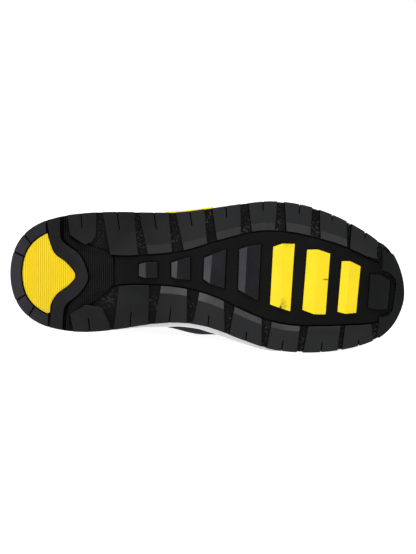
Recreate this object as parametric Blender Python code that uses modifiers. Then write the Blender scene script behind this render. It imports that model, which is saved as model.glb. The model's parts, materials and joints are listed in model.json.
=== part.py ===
# Right safety sneaker, EU size 42, lying on its medial side.
# It is modelled in the shoe's own frame: x runs from heel to toe, y towards the medial side
# and z up from the plane of the tread. An empty then turns and sets it down as it rests.

import math

import bmesh
import bpy
import numpy as np
from mathutils import Matrix, Vector


def table(columns, *rows):
    """Rows of a small table, each as a dictionary with the named columns."""
    return [dict(zip(columns.split(), row)) for row in rows]


# Sole in plan, in metres
OUTSOLE_LENGTH = 0.300
BALL_WIDTH = 0.1135
WAIST_WIDTH = 0.0840
HEEL_WIDTH = 0.0905
ARCH_OVERHANG = 0.0042
MIDSOLE_INSET = 0.0004

# Sole in side view
LUG_DEPTH = 0.0040
PLATE_THICKNESS = 0.0025
PLATE_INSET = 0.0010
TOE_SPRING = 0.0140
ARCH_LIFT = 0.0015
HEEL_BEVEL = 0.0025
HEEL_STACK = 0.0270
BALL_STACK = 0.0170
TOE_STACK = 0.0145
RIM_THICKNESS = 0.0035
RIM_HEIGHT = 0.0070
HEEL_FLARE = 0.0025      # added to the rim's thickness at the heel
SIDE_GROOVE = 0.0008
CLIP_DEPTH = 0.0030
CLIP_PROUD = 0.0012

# Tread details
HEEL_RING_WIDTH = 0.0084
TREAD_GROOVE = 0.0011
BEVEL_RISE = 0.0026
BAR_FACET_RISE = 0.0016
SMOOTH_PLATE_RISE = 0.0010
HEEL_PAD_RECESS = 0.0005

# Upper
UPPER_WALL = 0.0024
COLLAR_PADDING = 0.0065
TOE_BOX_HEIGHT = 0.0670
INSTEP_HEIGHT = 0.1090
COLLAR_BACK_HEIGHT = 0.1010
COLLAR_ANKLE_HEIGHT = 0.0840
MEDIAL_SWELL = 0.0105
LATERAL_SWELL = 0.0040
THROAT_FRONT = 0.1880
THROAT_LENGTH = 0.0620
THROAT_TOP_WIDTH = 0.0460
THROAT_FRONT_WIDTH = 0.0260
OVERLAY_THICKNESS = 0.0012

# Inside and lacing
INSOLE_THICKNESS = 0.0040
TONGUE_THICKNESS = 0.0050
TONGUE_GAP = 0.0010
TONGUE_TUCK = 0.0100
TONGUE_OVERLAP = 0.0090
LACE_WIDTH = 0.0055
LACE_THICKNESS = 0.0016
LACE_LIFT = 0.0010
LACE_EDGE_GAP = 0.0020
EYELET_DIAMETER = 0.0045
EYELET_INSET = 0.0075
EYELET_PAIRS = 6

# Gap between pieces that meet
CLEARANCE = 0.0003

# Places along the sole, as shares of its length
ARCH_START, ARCH_END = 0.27, 0.53
TOE_SPRING_START = 0.715
HEEL_BEVEL_END = 0.045
HEEL_FLARE_START, HEEL_FLARE_END = 0.20, 0.40
PADDING_START, PADDING_END = 0.27, 0.37
TOE_BAND_SPLAY = 0.004   # its ends lean forward towards the edge
OVERLAY_MARGIN = 0.035   # columns that an overlay begins with past its own outline

# Shares of other sizes
TOE_TIP_SHIFT = 0.128    # of the ball width
PAD_TIP = 0.082          # of the length, where the heel ring ends
BRACE_ARM = 0.15         # of the brace, at each end, beside the pad's tips
COLLAR_BLEND = 0.12      # turn over which the collar's edge runs into the throat's
THROAT_REACH = 1.6       # of the throat's length, over which its edge can end a column
PADDING_DEPTH = 0.42     # of the ankle height, from the collar down
EYELET_FIRST = 0.22      # of the throat's front width, behind its front
EYELET_LAST = 0.93       # of the throat's length
TONGUE_LENGTH = 1.22     # of the throat's length
TONGUE_TIP = 0.2         # of the tongue's length, where it narrows
TONGUE_ROUND = 0.6       # how much it narrows there
LACE_CLIMB = (0.15, 0.80)    # of the way to the throat's edge, from the tongue to the eyestay
LACE_HUMP = 0.7          # of the lace's thickness, where one strand crosses over the other
LACE_START = 1.1         # of the lace's width, between the bar and the first crossing

# Edge of the outsole from below: distance along the length, then the lateral and medial
# edges as shares of the width that they follow
OUTLINE = table(
    "width        along  lateral medial",
    (HEEL_WIDTH,  0.011, -0.201, 0.202),
    (HEEL_WIDTH,  0.041, -0.346, 0.345),
    (HEEL_WIDTH,  0.082, -0.432, 0.432),
    (HEEL_WIDTH,  0.125, -0.476, 0.474),
    (HEEL_WIDTH,  0.202, -0.509, 0.492),
    (HEEL_WIDTH,  0.278, -0.516, 0.466),
    (WAIST_WIDTH, 0.354, -0.550, 0.461),
    (WAIST_WIDTH, 0.427, -0.553, 0.446),
    (WAIST_WIDTH, 0.500, -0.584, 0.485),
    (BALL_WIDTH,  0.583, -0.464, 0.440),
    (BALL_WIDTH,  0.659, -0.483, 0.507),
    (BALL_WIDTH,  0.735, -0.462, 0.530),
    (BALL_WIDTH,  0.812, -0.398, 0.522),
    (BALL_WIDTH,  0.888, -0.297, 0.483),
    (BALL_WIDTH,  0.939, -0.203, 0.426),
    (BALL_WIDTH,  0.969, -0.124, 0.354),
    (BALL_WIDTH,  0.990, -0.019, 0.256),
)

# Where the valley between the lugs begins, as shares of the way from the lateral edge
# to the medial one
VALLEY = table(
    "along  lateral medial",
    (0.150, 0.240, 0.790),
    (0.255, 0.360, 0.641),
    (0.350, 0.372, 0.651),
    (0.445, 0.342, 0.692),
    (0.530, 0.264, 0.744),
    (0.611, 0.207, 0.795),
    (0.690, 0.195, 0.820),
    (0.780, 0.200, 0.820),
    (0.855, 0.201, 0.818),
    (0.918, 0.214, 0.835),
)

# Lugs from heel to toe: where each begins and ends on the sole's edge and at the valley,
# how much of the way to the valley it reaches, and how much of that is bevelled
LUG_COLUMNS = "edge_from edge_to valley_from valley_to reach bevel"
LATERAL_LUGS = table(
    LUG_COLUMNS,
    (0.146, 0.219, 0.156, 0.212, 0.66, 0.12),
    (0.235, 0.313, 0.254, 0.324, 1.00, 0.12),
    (0.327, 0.401, 0.349, 0.410, 1.00, 0.22),
    (0.420, 0.491, 0.440, 0.499, 1.00, 0.20),
    (0.512, 0.583, 0.524, 0.584, 1.00, 0.25),
    (0.604, 0.676, 0.612, 0.670, 1.00, 0.26),
    (0.695, 0.765, 0.700, 0.760, 1.00, 0.30),
    (0.784, 0.852, 0.786, 0.854, 1.00, 0.28),
    (0.866, 0.931, 0.861, 0.929, 1.00, 0.14),
)
MEDIAL_LUGS = table(
    LUG_COLUMNS,
    (0.163, 0.254, 0.172, 0.235, 0.80, 0.12),
    (0.263, 0.349, 0.276, 0.352, 1.00, 0.24),
    (0.366, 0.447, 0.382, 0.448, 1.00, 0.20),
    (0.463, 0.543, 0.479, 0.541, 1.00, 0.26),
    (0.555, 0.636, 0.568, 0.637, 1.00, 0.22),
    (0.650, 0.725, 0.662, 0.734, 1.00, 0.20),
    (0.742, 0.829, 0.755, 0.836, 1.00, 0.16),
    (0.841, 0.919, 0.849, 0.915, 1.00, 0.12),
)

# Cross bars in the valley: lateral and medial end of the left, ridge and right lines, as
# distance along and across
BAR_COLUMNS = "left ridge right lateral_left lateral_right medial_left medial_right slant"
BLACK_BARS = table(
    BAR_COLUMNS,
    (0.326, 0.343, 0.373, 0.452, 0.447, 0.562, 0.583, 0.000),
    (0.408, 0.421, 0.455, 0.451, 0.411, 0.583, 0.615, 0.000),
    (0.490, 0.507, 0.546, 0.417, 0.344, 0.601, 0.651, -0.004),
    (0.580, 0.598, 0.634, 0.334, 0.296, 0.639, 0.690, -0.005),
)
YELLOW_BARS = table(
    BAR_COLUMNS,
    (0.666, 0.689, 0.723, 0.305, 0.272, 0.701, 0.728, -0.009),
    (0.752, 0.779, 0.813, 0.298, 0.291, 0.712, 0.735, -0.011),
    (0.840, 0.861, 0.890, 0.321, 0.317, 0.712, 0.718, -0.011),
)
TOE_BAR = table(
    "along across",
    (0.910, 0.370), (0.936, 0.345), (0.964, 0.373),
    (0.957, 0.730), (0.932, 0.706), (0.905, 0.681),
)

# Front edge of the heel pad and front edge of the brace behind the lugs, from lateral
# to medial: distance along the length and shares of the heel width
PAD_FRONT = table(
    "along across",
    (0.097, -0.300), (0.112, -0.172), (0.142, -0.092), (0.165, 0.012),
    (0.151, 0.090), (0.120, 0.169), (0.104, 0.250), (0.101, 0.325),
)
BRACE_FRONT = table(
    "along across",
    (0.127, -0.477), (0.127, -0.330), (0.135, -0.240), (0.171, -0.143),
    (0.195, 0.008), (0.186, 0.101), (0.156, 0.194), (0.135, 0.270),
    (0.132, 0.350), (0.130, 0.476),
)
TOE_BAND = table(
    "along across",
    (0.944, 0.030), (0.944, 0.281), (0.966, 0.273), (0.979, 0.320), (0.979, 0.500),
    (0.970, 0.780), (0.962, 0.815), (0.936, 0.791), (0.930, 0.975),
)

# Bare raised plate at the waist, and the arch clip on the side of the midsole, whose lower
# and upper edges are shares of that side
SMOOTH_PLATE = table(
    "along  lateral medial",
    (0.260, 0.400, 0.610),
    (0.320, 0.410, 0.600),
)
ARCH_CLIP = table(
    "along  lower upper",
    (0.395, 0.22, 0.56),
    (0.455, 0.16, 0.62),
    (0.515, 0.22, 0.56),
)

# Thickness of the whole sole under the foot
STACK = table(
    "along height",
    (0.00, HEEL_STACK), (0.22, HEEL_STACK), (0.45, (HEEL_STACK + BALL_STACK) / 2),
    (0.70, BALL_STACK), (0.86, TOE_STACK), (1.00, TOE_STACK),
)

# Side of the midsole from its lower edge to the top of its rim: height as a share of the
# side, and how far it stands out as a share of the groove's depth
SIDE_PROFILE = table(
    "height out",
    (0.00, -0.4), (0.10, 0.3), (0.30, 0.2), (0.35, -0.9), (0.40, 0.1), (0.56, -0.3),
    (0.61, -1.3), (0.66, -0.6), (0.90, -1.4), (1.00, -2.5),
)
WAIST_OVERHANG = table(
    "along share",
    (0.16, 0.00), (0.24, 0.00), (0.30, 0.25), (0.38, 0.70), (0.50, 1.00), (0.60, 0.72),
    (0.655, 0.40), (0.70, 0.00), (0.78, 0.00),
)
RIM_WAVE = table(
    "along height",
    (0.00, 1.6), (0.12, 1.5), (0.30, 1.0), (0.48, 1.1), (0.70, 1.0), (0.86, 1.1), (1.00, 1.7),
)

# Upper's ridge and sections: the named height each row follows, how far across the ridge
# lies, how full and how steep the section is, and the swell of each side
SECTIONS = table(
    "follows             along  height across full  rise  lateral medial",
    (INSTEP_HEIGHT,      0.160, 1.600, 0.505, 1.10, 1.00, -0.55, -0.30),
    (INSTEP_HEIGHT,      0.233, 1.440, 0.510, 1.05, 0.98, -0.10, -0.12),
    (INSTEP_HEIGHT,      0.317, 1.270, 0.520, 0.92, 0.94, 0.60, 0.25),
    (INSTEP_HEIGHT,      0.400, 1.115, 0.530, 0.82, 0.88, 1.00, 0.70),
    (INSTEP_HEIGHT,      0.480, 1.000, 0.540, 0.78, 0.86, 1.00, 0.95),
    (INSTEP_HEIGHT,      0.567, 0.885, 0.545, 0.76, 0.84, 0.90, 0.38),
    (INSTEP_HEIGHT,      0.633, 0.800, 0.545, 0.74, 0.82, 0.70, 0.12),
    (TOE_BOX_HEIGHT,     0.700, 1.150, 0.540, 0.72, 0.78, 0.50, 0.08),
    (TOE_BOX_HEIGHT,     0.770, 1.055, 0.530, 0.68, 0.72, 0.30, 0.08),
    (TOE_BOX_HEIGHT,     0.840, 1.000, 0.520, 0.64, 0.66, 0.20, 0.08),
)
COLLAR = table(
    "follows               along  height",
    (COLLAR_BACK_HEIGHT,   0.000, 1.010),
    (COLLAR_BACK_HEIGHT,   0.070, 0.995),
    (COLLAR_BACK_HEIGHT,   0.135, 0.950),
    (COLLAR_ANKLE_HEIGHT,  0.200, 1.055),
    (COLLAR_ANKLE_HEIGHT,  0.260, 1.000),
    (COLLAR_ANKLE_HEIGHT,  0.320, 1.025),
    (COLLAR_ANKLE_HEIGHT,  0.370, 1.130),
    (COLLAR_ANKLE_HEIGHT,  0.410, 1.290),
    (COLLAR_ANKLE_HEIGHT,  0.450, 1.560),
)

# Side views that the overlays are cut to: distance along the length, height as a share
# of the named one
TOE_CAP_EDGE = table(
    "along height",
    (0.770, 0.20), (0.786, 0.50), (0.826, 0.85), (0.842, 1.25),
)
COUNTER_EDGE = table(
    "along height",
    (0.300, 0.20), (0.285, 0.42), (0.235, 0.56), (0.165, 0.66), (0.090, 0.76), (-0.020, 0.80),
)
EYESTAY_EDGE = table(
    "along height",
    (0.375, 1.200), (0.388, 0.860), (0.440, 0.770), (0.530, 0.690), (0.610, 0.600),
    (0.668, 0.600), (0.690, 0.760),
)

COLOURS = {
    "black rubber": ((0.030, 0.031, 0.034), 0.55),
    "yellow rubber": ((0.840, 0.600, 0.020), 0.45),
    "white foam": ((0.620, 0.630, 0.650), 0.60),
    "black mesh": ((0.020, 0.020, 0.022), 0.85),
    "black suede": ((0.028, 0.028, 0.031), 0.90),
    "black film": ((0.018, 0.018, 0.020), 0.40),
    "black lining": ((0.040, 0.040, 0.042), 0.95),
    "black lace": ((0.015, 0.015, 0.016), 0.80),
}

RING_STEPS = 32      # stations on each side of the sole
UPPER_ROWS = 9
PAD_STEPS = np.linspace(0, 1, 17)
PAD_SHARES = (0.0, 0.12, 0.30, 1.0)    # lines across the pad, which follow the heel's bevel
CLIP_STEPS = 6
CLOSEST_COLUMNS = 0.035
SWELL_PEAK = 0.4**2 * 0.6**3           # highest value of u**2 * (1 - u)**3
LATERAL, MEDIAL = -1, 1


def smooth_curve(knots, values, at):
    """Cubic curve through the knots, with tangents from each knot's two neighbours."""
    knots, values = np.asarray(knots, float), np.asarray(values, float)
    spans = np.diff(knots)
    slopes = np.diff(values) / spans
    tangents = np.empty(len(knots))
    tangents[1:-1] = (slopes[:-1] * spans[1:] + slopes[1:] * spans[:-1]) / (spans[:-1] + spans[1:])
    tangents[0], tangents[-1] = slopes[0], slopes[-1]
    at = np.clip(at, knots[0], knots[-1])
    k = np.clip(np.searchsorted(knots, at) - 1, 0, len(spans) - 1)
    t = (at - knots[k]) / spans[k]
    return (
        (2 * t**3 - 3 * t**2 + 1) * values[k] + (t**3 - 2 * t**2 + t) * spans[k] * tangents[k]
        + (3 * t**2 - 2 * t**3) * values[k + 1] + (t**3 - t**2) * spans[k] * tangents[k + 1]
    )


def column(rows, name, scale=None):
    """One column of a table, scaled by another column that holds a named size."""
    return [row[name] * (row[scale] if scale else 1) for row in rows]


def share_of(value, start, end):
    """How far a value has gone from start to end, from 0 to 1."""
    return np.clip((value - start) / (end - start), 0, 1)


def ease(t):
    t = np.clip(t, 0, 1)
    return t * t * (3 - 2 * t)


# The outline is read by an angle that runs from the toe (-pi) along the lateral side to
# the heel (0) and back along the medial side to the toe (pi)

def angle_at(along, side=MEDIAL):
    return side * np.arccos(np.clip(1 - 2 * np.asarray(along, float), -1, 1))


def outline_knots():
    medial = [(float(angle_at(r["along"])), r["width"] * r["medial"]) for r in OUTLINE]
    lateral = [(-float(angle_at(r["along"])), r["width"] * r["lateral"]) for r in OUTLINE]
    toe = TOE_TIP_SHIFT * BALL_WIDTH
    once = lateral[::-1] + [(0.0, 0.0)] + medial + [(math.pi, toe)]
    before = [(a - 2 * math.pi, y) for a, y in once[-3:]]
    after = [(a + 2 * math.pi, y) for a, y in once[:2]]
    return np.array(before + once + after)


OUTLINE_KNOTS = outline_knots()


def outline(angle, inset=0.0):
    """Point of the outsole's edge, moved inwards along its normal."""
    step = 1e-3

    def place(a):
        x = OUTSOLE_LENGTH * (1 - np.cos(a)) / 2
        return x, smooth_curve(OUTLINE_KNOTS[:, 0], OUTLINE_KNOTS[:, 1], a)

    x, y = place(angle)
    x0, y0 = place(angle - step)
    x1, y1 = place(angle + step)
    dx, dy = x1 - x0, y1 - y0
    size = math.hypot(dx, dy)
    return x + inset * dy / size, y - inset * dx / size


def edge_y(along, side):
    return float(outline(float(angle_at(along, side)))[1])


def across_y(along, share):
    """y at a share of the way from the lateral edge to the medial edge."""
    low, high = edge_y(along, LATERAL), edge_y(along, MEDIAL)
    return low + (high - low) * share


def tread_z(x):
    """Height of the tread's surface: flat at heel and ball, lifted at arch and toe."""
    along = x / OUTSOLE_LENGTH
    arch = ARCH_LIFT * np.sin(np.pi * share_of(along, ARCH_START, ARCH_END)) ** 2
    toe = TOE_SPRING * share_of(along, TOE_SPRING_START, 1.0) ** 1.7
    heel = HEEL_BEVEL * share_of(along, HEEL_BEVEL_END, 0.0) ** 1.5
    return arch + toe + heel


def footbed_z(x):
    stack = smooth_curve(column(STACK, "along"), column(STACK, "height"), x / OUTSOLE_LENGTH)
    return tread_z(np.maximum(x, HEEL_BEVEL_END * OUTSOLE_LENGTH)) + stack


def rim_z(x):
    wave = smooth_curve(column(RIM_WAVE, "along"), column(RIM_WAVE, "height"), x / OUTSOLE_LENGTH)
    return footbed_z(x) + RIM_HEIGHT * wave


def overhang(angle):
    """How far the midsole stands out past the outsole on the medial waist."""
    if angle < 0:
        return -MIDSOLE_INSET
    along = (1 - math.cos(angle)) / 2
    share = smooth_curve(column(WAIST_OVERHANG, "along"), column(WAIST_OVERHANG, "share"), along)
    return (ARCH_OVERHANG + MIDSOLE_INSET) * float(share) - MIDSOLE_INSET


def mesh_object(name, bm, collection, colour=None):
    """Close and orient a bmesh and link it as an object with its own material."""
    bmesh.ops.remove_doubles(bm, verts=bm.verts, dist=1e-6)
    bmesh.ops.dissolve_degenerate(bm, edges=bm.edges, dist=1e-6)
    bmesh.ops.recalc_face_normals(bm, faces=bm.faces)
    mesh = bpy.data.meshes.new(name)
    bm.to_mesh(mesh)
    bm.free()
    piece = bpy.data.objects.new(name, mesh)
    collection.objects.link(piece)
    if colour:
        rgb, roughness = COLOURS[colour]
        material = bpy.data.materials.new(name)
        material.use_nodes = True
        shader = material.node_tree.nodes["Principled BSDF"]
        shader.inputs["Base Color"].default_value = (*rgb, 1)
        shader.inputs["Roughness"].default_value = roughness
        shader.inputs["Metallic"].default_value = 0.0
        mesh.materials.append(material)
    else:
        piece.hide_render = True
        piece.display_type = "WIRE"
    return piece


def slab(bm, lower, upper):
    """Closed block between two grids of points with the same rows and columns."""
    rows, columns = len(lower), len(lower[0])
    low = [[bm.verts.new(p) for p in row] for row in lower]
    top = [[bm.verts.new(p) for p in row] for row in upper]
    for r in range(rows - 1):
        for c in range(columns - 1):
            bm.faces.new((low[r][c], low[r][c + 1], low[r + 1][c + 1], low[r + 1][c]))
            bm.faces.new((top[r][c], top[r + 1][c], top[r + 1][c + 1], top[r][c + 1]))
    edge = [(0, c) for c in range(columns)] + [(r, columns - 1) for r in range(1, rows)]
    edge += [(rows - 1, c) for c in range(columns - 2, -1, -1)]
    edge += [(r, 0) for r in range(rows - 2, 0, -1)]
    for (r0, c0), (r1, c1) in zip(edge, edge[1:] + edge[:1]):
        bm.faces.new((low[r0][c0], top[r0][c0], top[r1][c1], low[r1][c1]))


def ring_loft(bm, rings):
    """Closed loft of rings that run round the sole, with both ends capped across it."""
    count = len(rings[0])
    made = [[bm.verts.new(p) for p in ring] for ring in rings]
    for low, top in zip(made, made[1:]):
        for i in range(count):
            j = (i + 1) % count
            bm.faces.new((low[i], low[j], top[j], top[i]))
    for ring in (made[0], made[-1]):
        half = count // 2
        for i in range(half):
            corners = [ring[half - i], ring[half - i - 1]]
            corners += [ring[(half + i + 1) % count], ring[(half + i) % count]]
            unique = list(dict.fromkeys(corners))
            bm.faces.new(unique)


def ring_angles():
    """Even angles round the sole, from the toe by the lateral side, heel and medial side."""
    return [math.pi * (k / RING_STEPS - 1) for k in range(2 * RING_STEPS)]


def sole_ring(inset, height):
    """Ring round the sole at an inset, or one worked out for each angle, and a height."""
    points = []
    for angle in ring_angles():
        depth = inset(angle) if callable(inset) else inset
        x, y = outline(angle, depth)
        points.append((x, y, float(height(x))))
    return points


def union_all(name, shapes, collection, cutters, colour):
    """One solid from several that overlap."""
    base = mesh_object(name, shapes[0], collection, colour)
    for index, shape in enumerate(shapes[1:]):
        part = mesh_object(f"{name}_form_{index}", shape, cutters)
        join = base.modifiers.new(f"join {index}", "BOOLEAN")
        join.operation, join.solver, join.object = "UNION", "EXACT", part
    return base


def cut(piece, cutter, operation="DIFFERENCE"):
    modifier = piece.modifiers.new(cutter.name, "BOOLEAN")
    modifier.operation, modifier.solver, modifier.object = operation, "EXACT", cutter


# Outsole

def tread_point(along, share, depth):
    """Point on the tread, a depth above its lowest surface."""
    x = along * OUTSOLE_LENGTH
    return x, across_y(along, share), float(tread_z(x)) + depth


def lug_form(row, side):
    """A lug: flat tread, bevelled down to the valley, its root inside the plate."""
    bm = bmesh.new()
    root = LUG_DEPTH + PLATE_THICKNESS / 2
    name = "lateral" if side == LATERAL else "medial"
    border_at, border = column(VALLEY, "along"), column(VALLEY, name)
    lower, upper = [], []
    for reach, rise in ((0.0, 0.0), (1 - row["bevel"], 0.0), (1.0, BEVEL_RISE)):
        low_row, top_row = [], []
        for k in range(5):
            t = k / 4
            edge = row["edge_from"] + (row["edge_to"] - row["edge_from"]) * t
            valley = row["valley_from"] + (row["valley_to"] - row["valley_from"]) * t
            along = edge + (valley - edge) * reach
            inner = float(smooth_curve(border_at, border, along))
            outer = 0.0 if side == LATERAL else 1.0
            share = outer + (inner - outer) * reach * row["reach"]
            low_row.append(tread_point(along, share, rise))
            top_row.append(tread_point(along, share, root))
        lower.append(low_row)
        upper.append(top_row)
    slab(bm, lower, upper)
    return bm


def bar_form(row, root):
    """A cross bar with two facets that meet in a ridge."""
    bm = bmesh.new()
    lower, upper = [], []
    for end in ("lateral", "medial"):
        shift = 0 if end == "lateral" else row["slant"]
        low_row, top_row = [], []
        for line, rise in (("left", BAR_FACET_RISE), ("ridge", 0.0), ("right", BAR_FACET_RISE)):
            t = (row[line] - row["left"]) / (row["right"] - row["left"])
            share = row[f"{end}_left"] + (row[f"{end}_right"] - row[f"{end}_left"]) * t
            low_row.append(tread_point(row[line] + shift, share, rise))
            top_row.append(tread_point(row[line] + shift, share, root))
        lower.append(low_row)
        upper.append(top_row)
    slab(bm, lower, upper)
    return bm


def heel_line(rows, t, shift=0.0):
    """Point of a line across the heel, from lateral (0) to medial (1)."""
    knots = np.linspace(0, 1, len(rows))
    x = float(smooth_curve(knots, column(rows, "along"), t)) * OUTSOLE_LENGTH + shift
    y = float(smooth_curve(knots, column(rows, "across"), t)) * HEEL_WIDTH
    return x, y


def band_form(left, right, depths, steps, shares=(0.0, 1.0)):
    """A band between two lines in plan, from lateral to medial, with a flat tread."""
    bm = bmesh.new()
    lower, upper = [], []
    for t in steps:
        (x0, y0), (x1, y1) = left(t), right(t)
        line = [(x0 + (x1 - x0) * s, y0 + (y1 - y0) * s) for s in shares]
        lower.append([(x, y, float(tread_z(x)) + depths[0]) for x, y in line])
        upper.append([(x, y, float(tread_z(x)) + depths[1]) for x, y in line])
    slab(bm, lower, upper)
    return bm


def heel_arc(inset):
    """Line round the back of the heel at an inset, from lateral (0) to medial (1)."""
    end = float(angle_at(PAD_TIP))
    return lambda t: outline(end * (2 * t - 1), inset)


def plate_form():
    bm = bmesh.new()
    ring_loft(bm, [
        sole_ring(PLATE_INSET, lambda x: tread_z(x) + LUG_DEPTH),
        sole_ring(PLATE_INSET, lambda x: tread_z(x) + LUG_DEPTH + PLATE_THICKNESS),
    ])
    return bm


def brace_left(t):
    """Back edge of the brace: along the heel pad, and out to the sole's edge."""
    along_pad = min(max((t - BRACE_ARM) / (1 - 2 * BRACE_ARM), 0.0), 1.0)
    x, y = heel_line(PAD_FRONT, along_pad, TREAD_GROOVE)
    out = max(BRACE_ARM - min(t, 1 - t), 0.0) / BRACE_ARM
    tip = PAD_TIP + TREAD_GROOVE / OUTSOLE_LENGTH
    edge = edge_y(tip, LATERAL if t < 0.5 else MEDIAL)
    return x + (tip * OUTSOLE_LENGTH - x) * out, y + (edge - y) * out


def toe_band_left(t):
    knots = np.linspace(0, 1, len(TOE_BAND))
    along = float(np.interp(t, knots, column(TOE_BAND, "along")))
    share = float(np.interp(t, knots, column(TOE_BAND, "across")))
    return along * OUTSOLE_LENGTH, across_y(along, share)


def toe_band_right(t):
    start = float(angle_at(TOE_BAND[0]["along"] + TOE_BAND_SPLAY, LATERAL))
    end = float(angle_at(TOE_BAND[-1]["along"] + TOE_BAND_SPLAY, MEDIAL))
    angle = (start + 2 * math.pi) * (1 - t) + end * t
    return outline(angle)


def toe_bar_form(root):
    """The flat bar inside the toe band."""
    bm = bmesh.new()
    points = [(r["along"], r["across"]) for r in TOE_BAR]
    grid = [points[:3], points[:2:-1]]
    slab(
        bm,
        [[tread_point(a, s, SMOOTH_PLATE_RISE) for a, s in row] for row in grid],
        [[tread_point(a, s, root) for a, s in row] for row in grid],
    )
    return bm


def smooth_plate_form(root):
    """The bare raised plate at the waist."""
    bm = bmesh.new()
    grid = [[(r["along"], r[side]) for r in SMOOTH_PLATE] for side in ("lateral", "medial")]
    depth = LUG_DEPTH - SMOOTH_PLATE_RISE
    slab(
        bm,
        [[tread_point(a, s, depth) for a, s in row] for row in grid],
        [[tread_point(a, s, root) for a, s in row] for row in grid],
    )
    return bm


def make_outsole(collection, cutters):
    root = LUG_DEPTH + PLATE_THICKNESS / 2
    arms = (0.0, BRACE_ARM / 2)
    beside_pad = [BRACE_ARM + (1 - 2 * BRACE_ARM) * t for t in PAD_STEPS]
    brace_steps = [*arms, *beside_pad, *(1 - t for t in reversed(arms))]
    toe_steps = np.linspace(0, 1, 2 * len(TOE_BAND) - 1)
    forms = [plate_form()]
    forms.append(band_form(heel_arc(0.0), heel_arc(HEEL_RING_WIDTH), (0.0, root), PAD_STEPS))
    forms.append(band_form(brace_left, lambda t: heel_line(BRACE_FRONT, t), (0.0, root), brace_steps))
    forms.append(band_form(toe_band_left, toe_band_right, (0.0, root), toe_steps))
    forms += [lug_form(row, LATERAL) for row in LATERAL_LUGS]
    forms += [lug_form(row, MEDIAL) for row in MEDIAL_LUGS]
    forms += [bar_form(row, root) for row in BLACK_BARS]
    forms += [toe_bar_form(root), smooth_plate_form(root)]
    return union_all("outsole", forms, collection, cutters, "black rubber")


def make_heel_pad(collection):
    """The pad in the hollow of the heel, with a clear groove round it."""
    back = heel_arc(HEEL_RING_WIDTH + TREAD_GROOVE)
    depths = (HEEL_PAD_RECESS, LUG_DEPTH - CLEARANCE)
    bm = band_form(back, lambda t: heel_line(PAD_FRONT, t), depths, PAD_STEPS, PAD_SHARES)
    return mesh_object("heel_pad", bm, collection, "yellow rubber")


def make_forefoot_bars(collection):
    return [
        mesh_object(f"forefoot_bar_{k + 1}", bar_form(row, LUG_DEPTH - CLEARANCE),
                    collection, "yellow rubber")
        for k, row in enumerate(YELLOW_BARS)
    ]


# Midsole

def midsole_floor(x):
    return tread_z(x) + LUG_DEPTH + PLATE_THICKNESS + CLEARANCE


def midsole_inset(angle):
    """From the sole's edge to the inner face of the midsole's rim, thicker at the heel."""
    heel = ease(share_of((1 - math.cos(angle)) / 2, HEEL_FLARE_END, HEEL_FLARE_START))
    return RIM_THICKNESS + HEEL_FLARE * float(heel) - overhang(angle)


def make_midsole(collection, cutters):
    """Foam cup with a footbed, a rim round the upper and two grooves round its side."""
    bm = bmesh.new()
    rings = []
    for row in SIDE_PROFILE:
        share, out = row["height"], row["out"] * SIDE_GROOVE
        rings.append(sole_ring(
            lambda angle, out=out: -overhang(angle) - out,
            lambda x, share=share: midsole_floor(x) * (1 - share) + rim_z(x) * share,
        ))
    rings.append(sole_ring(midsole_inset, rim_z))
    rings.append(sole_ring(midsole_inset, footbed_z))
    ring_loft(bm, rings)
    midsole = mesh_object("midsole", bm, collection, "white foam")
    pocket = clip_form(CLIP_DEPTH + CLEARANCE, CLIP_PROUD * 4, CLEARANCE)
    cut(midsole, mesh_object("arch_clip_pocket", pocket, cutters))
    return midsole


def clip_form(depth, proud, grow):
    """Block in the lateral side of the arch, following the sole's edge."""
    bm = bmesh.new()
    lower, upper = [], []
    places = column(ARCH_CLIP, "along")
    for k in range(CLIP_STEPS + 1):
        along = places[0] + (places[-1] - places[0]) * k / CLIP_STEPS
        reach = grow if k == CLIP_STEPS else -grow if k == 0 else 0.0
        angle = float(angle_at(along + reach / OUTSOLE_LENGTH, LATERAL))
        edge_x = outline(angle)[0]
        floor, rim = midsole_floor(edge_x), rim_z(edge_x)
        low = floor + (rim - floor) * np.interp(along, places, column(ARCH_CLIP, "lower")) - grow
        top = floor + (rim - floor) * np.interp(along, places, column(ARCH_CLIP, "upper")) + grow
        sides = [outline(angle, depth), outline(angle, -proud)]
        lower.append([(x, y, float(low)) for x, y in sides])
        upper.append([(x, y, float(top)) for x, y in sides])
    slab(bm, lower, upper)
    return bm


def make_arch_clip(collection):
    return mesh_object("arch_clip", clip_form(CLIP_DEPTH, CLIP_PROUD, 0.0), collection, "yellow rubber")


def make_insole(collection):
    bm = bmesh.new()

    def inset(angle):
        return midsole_inset(angle) + CLEARANCE + UPPER_WALL + 3 * CLEARANCE

    ring_loft(bm, [
        sole_ring(inset, lambda x: footbed_z(x) + CLEARANCE),
        sole_ring(inset, lambda x: footbed_z(x) + CLEARANCE + INSOLE_THICKNESS),
    ])
    return mesh_object("insole", bm, collection, "black lining")


# Upper: a column of points for each angle round the sole, from the feather edge in the
# midsole up to the ridge over the foot

def section(along, name):
    low, high = SECTIONS[0]["along"], SECTIONS[-1]["along"]
    scale = "follows" if name == "height" else None
    at = min(max(along, low), high)
    return float(smooth_curve(column(SECTIONS, "along"), column(SECTIONS, name, scale), at))


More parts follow.
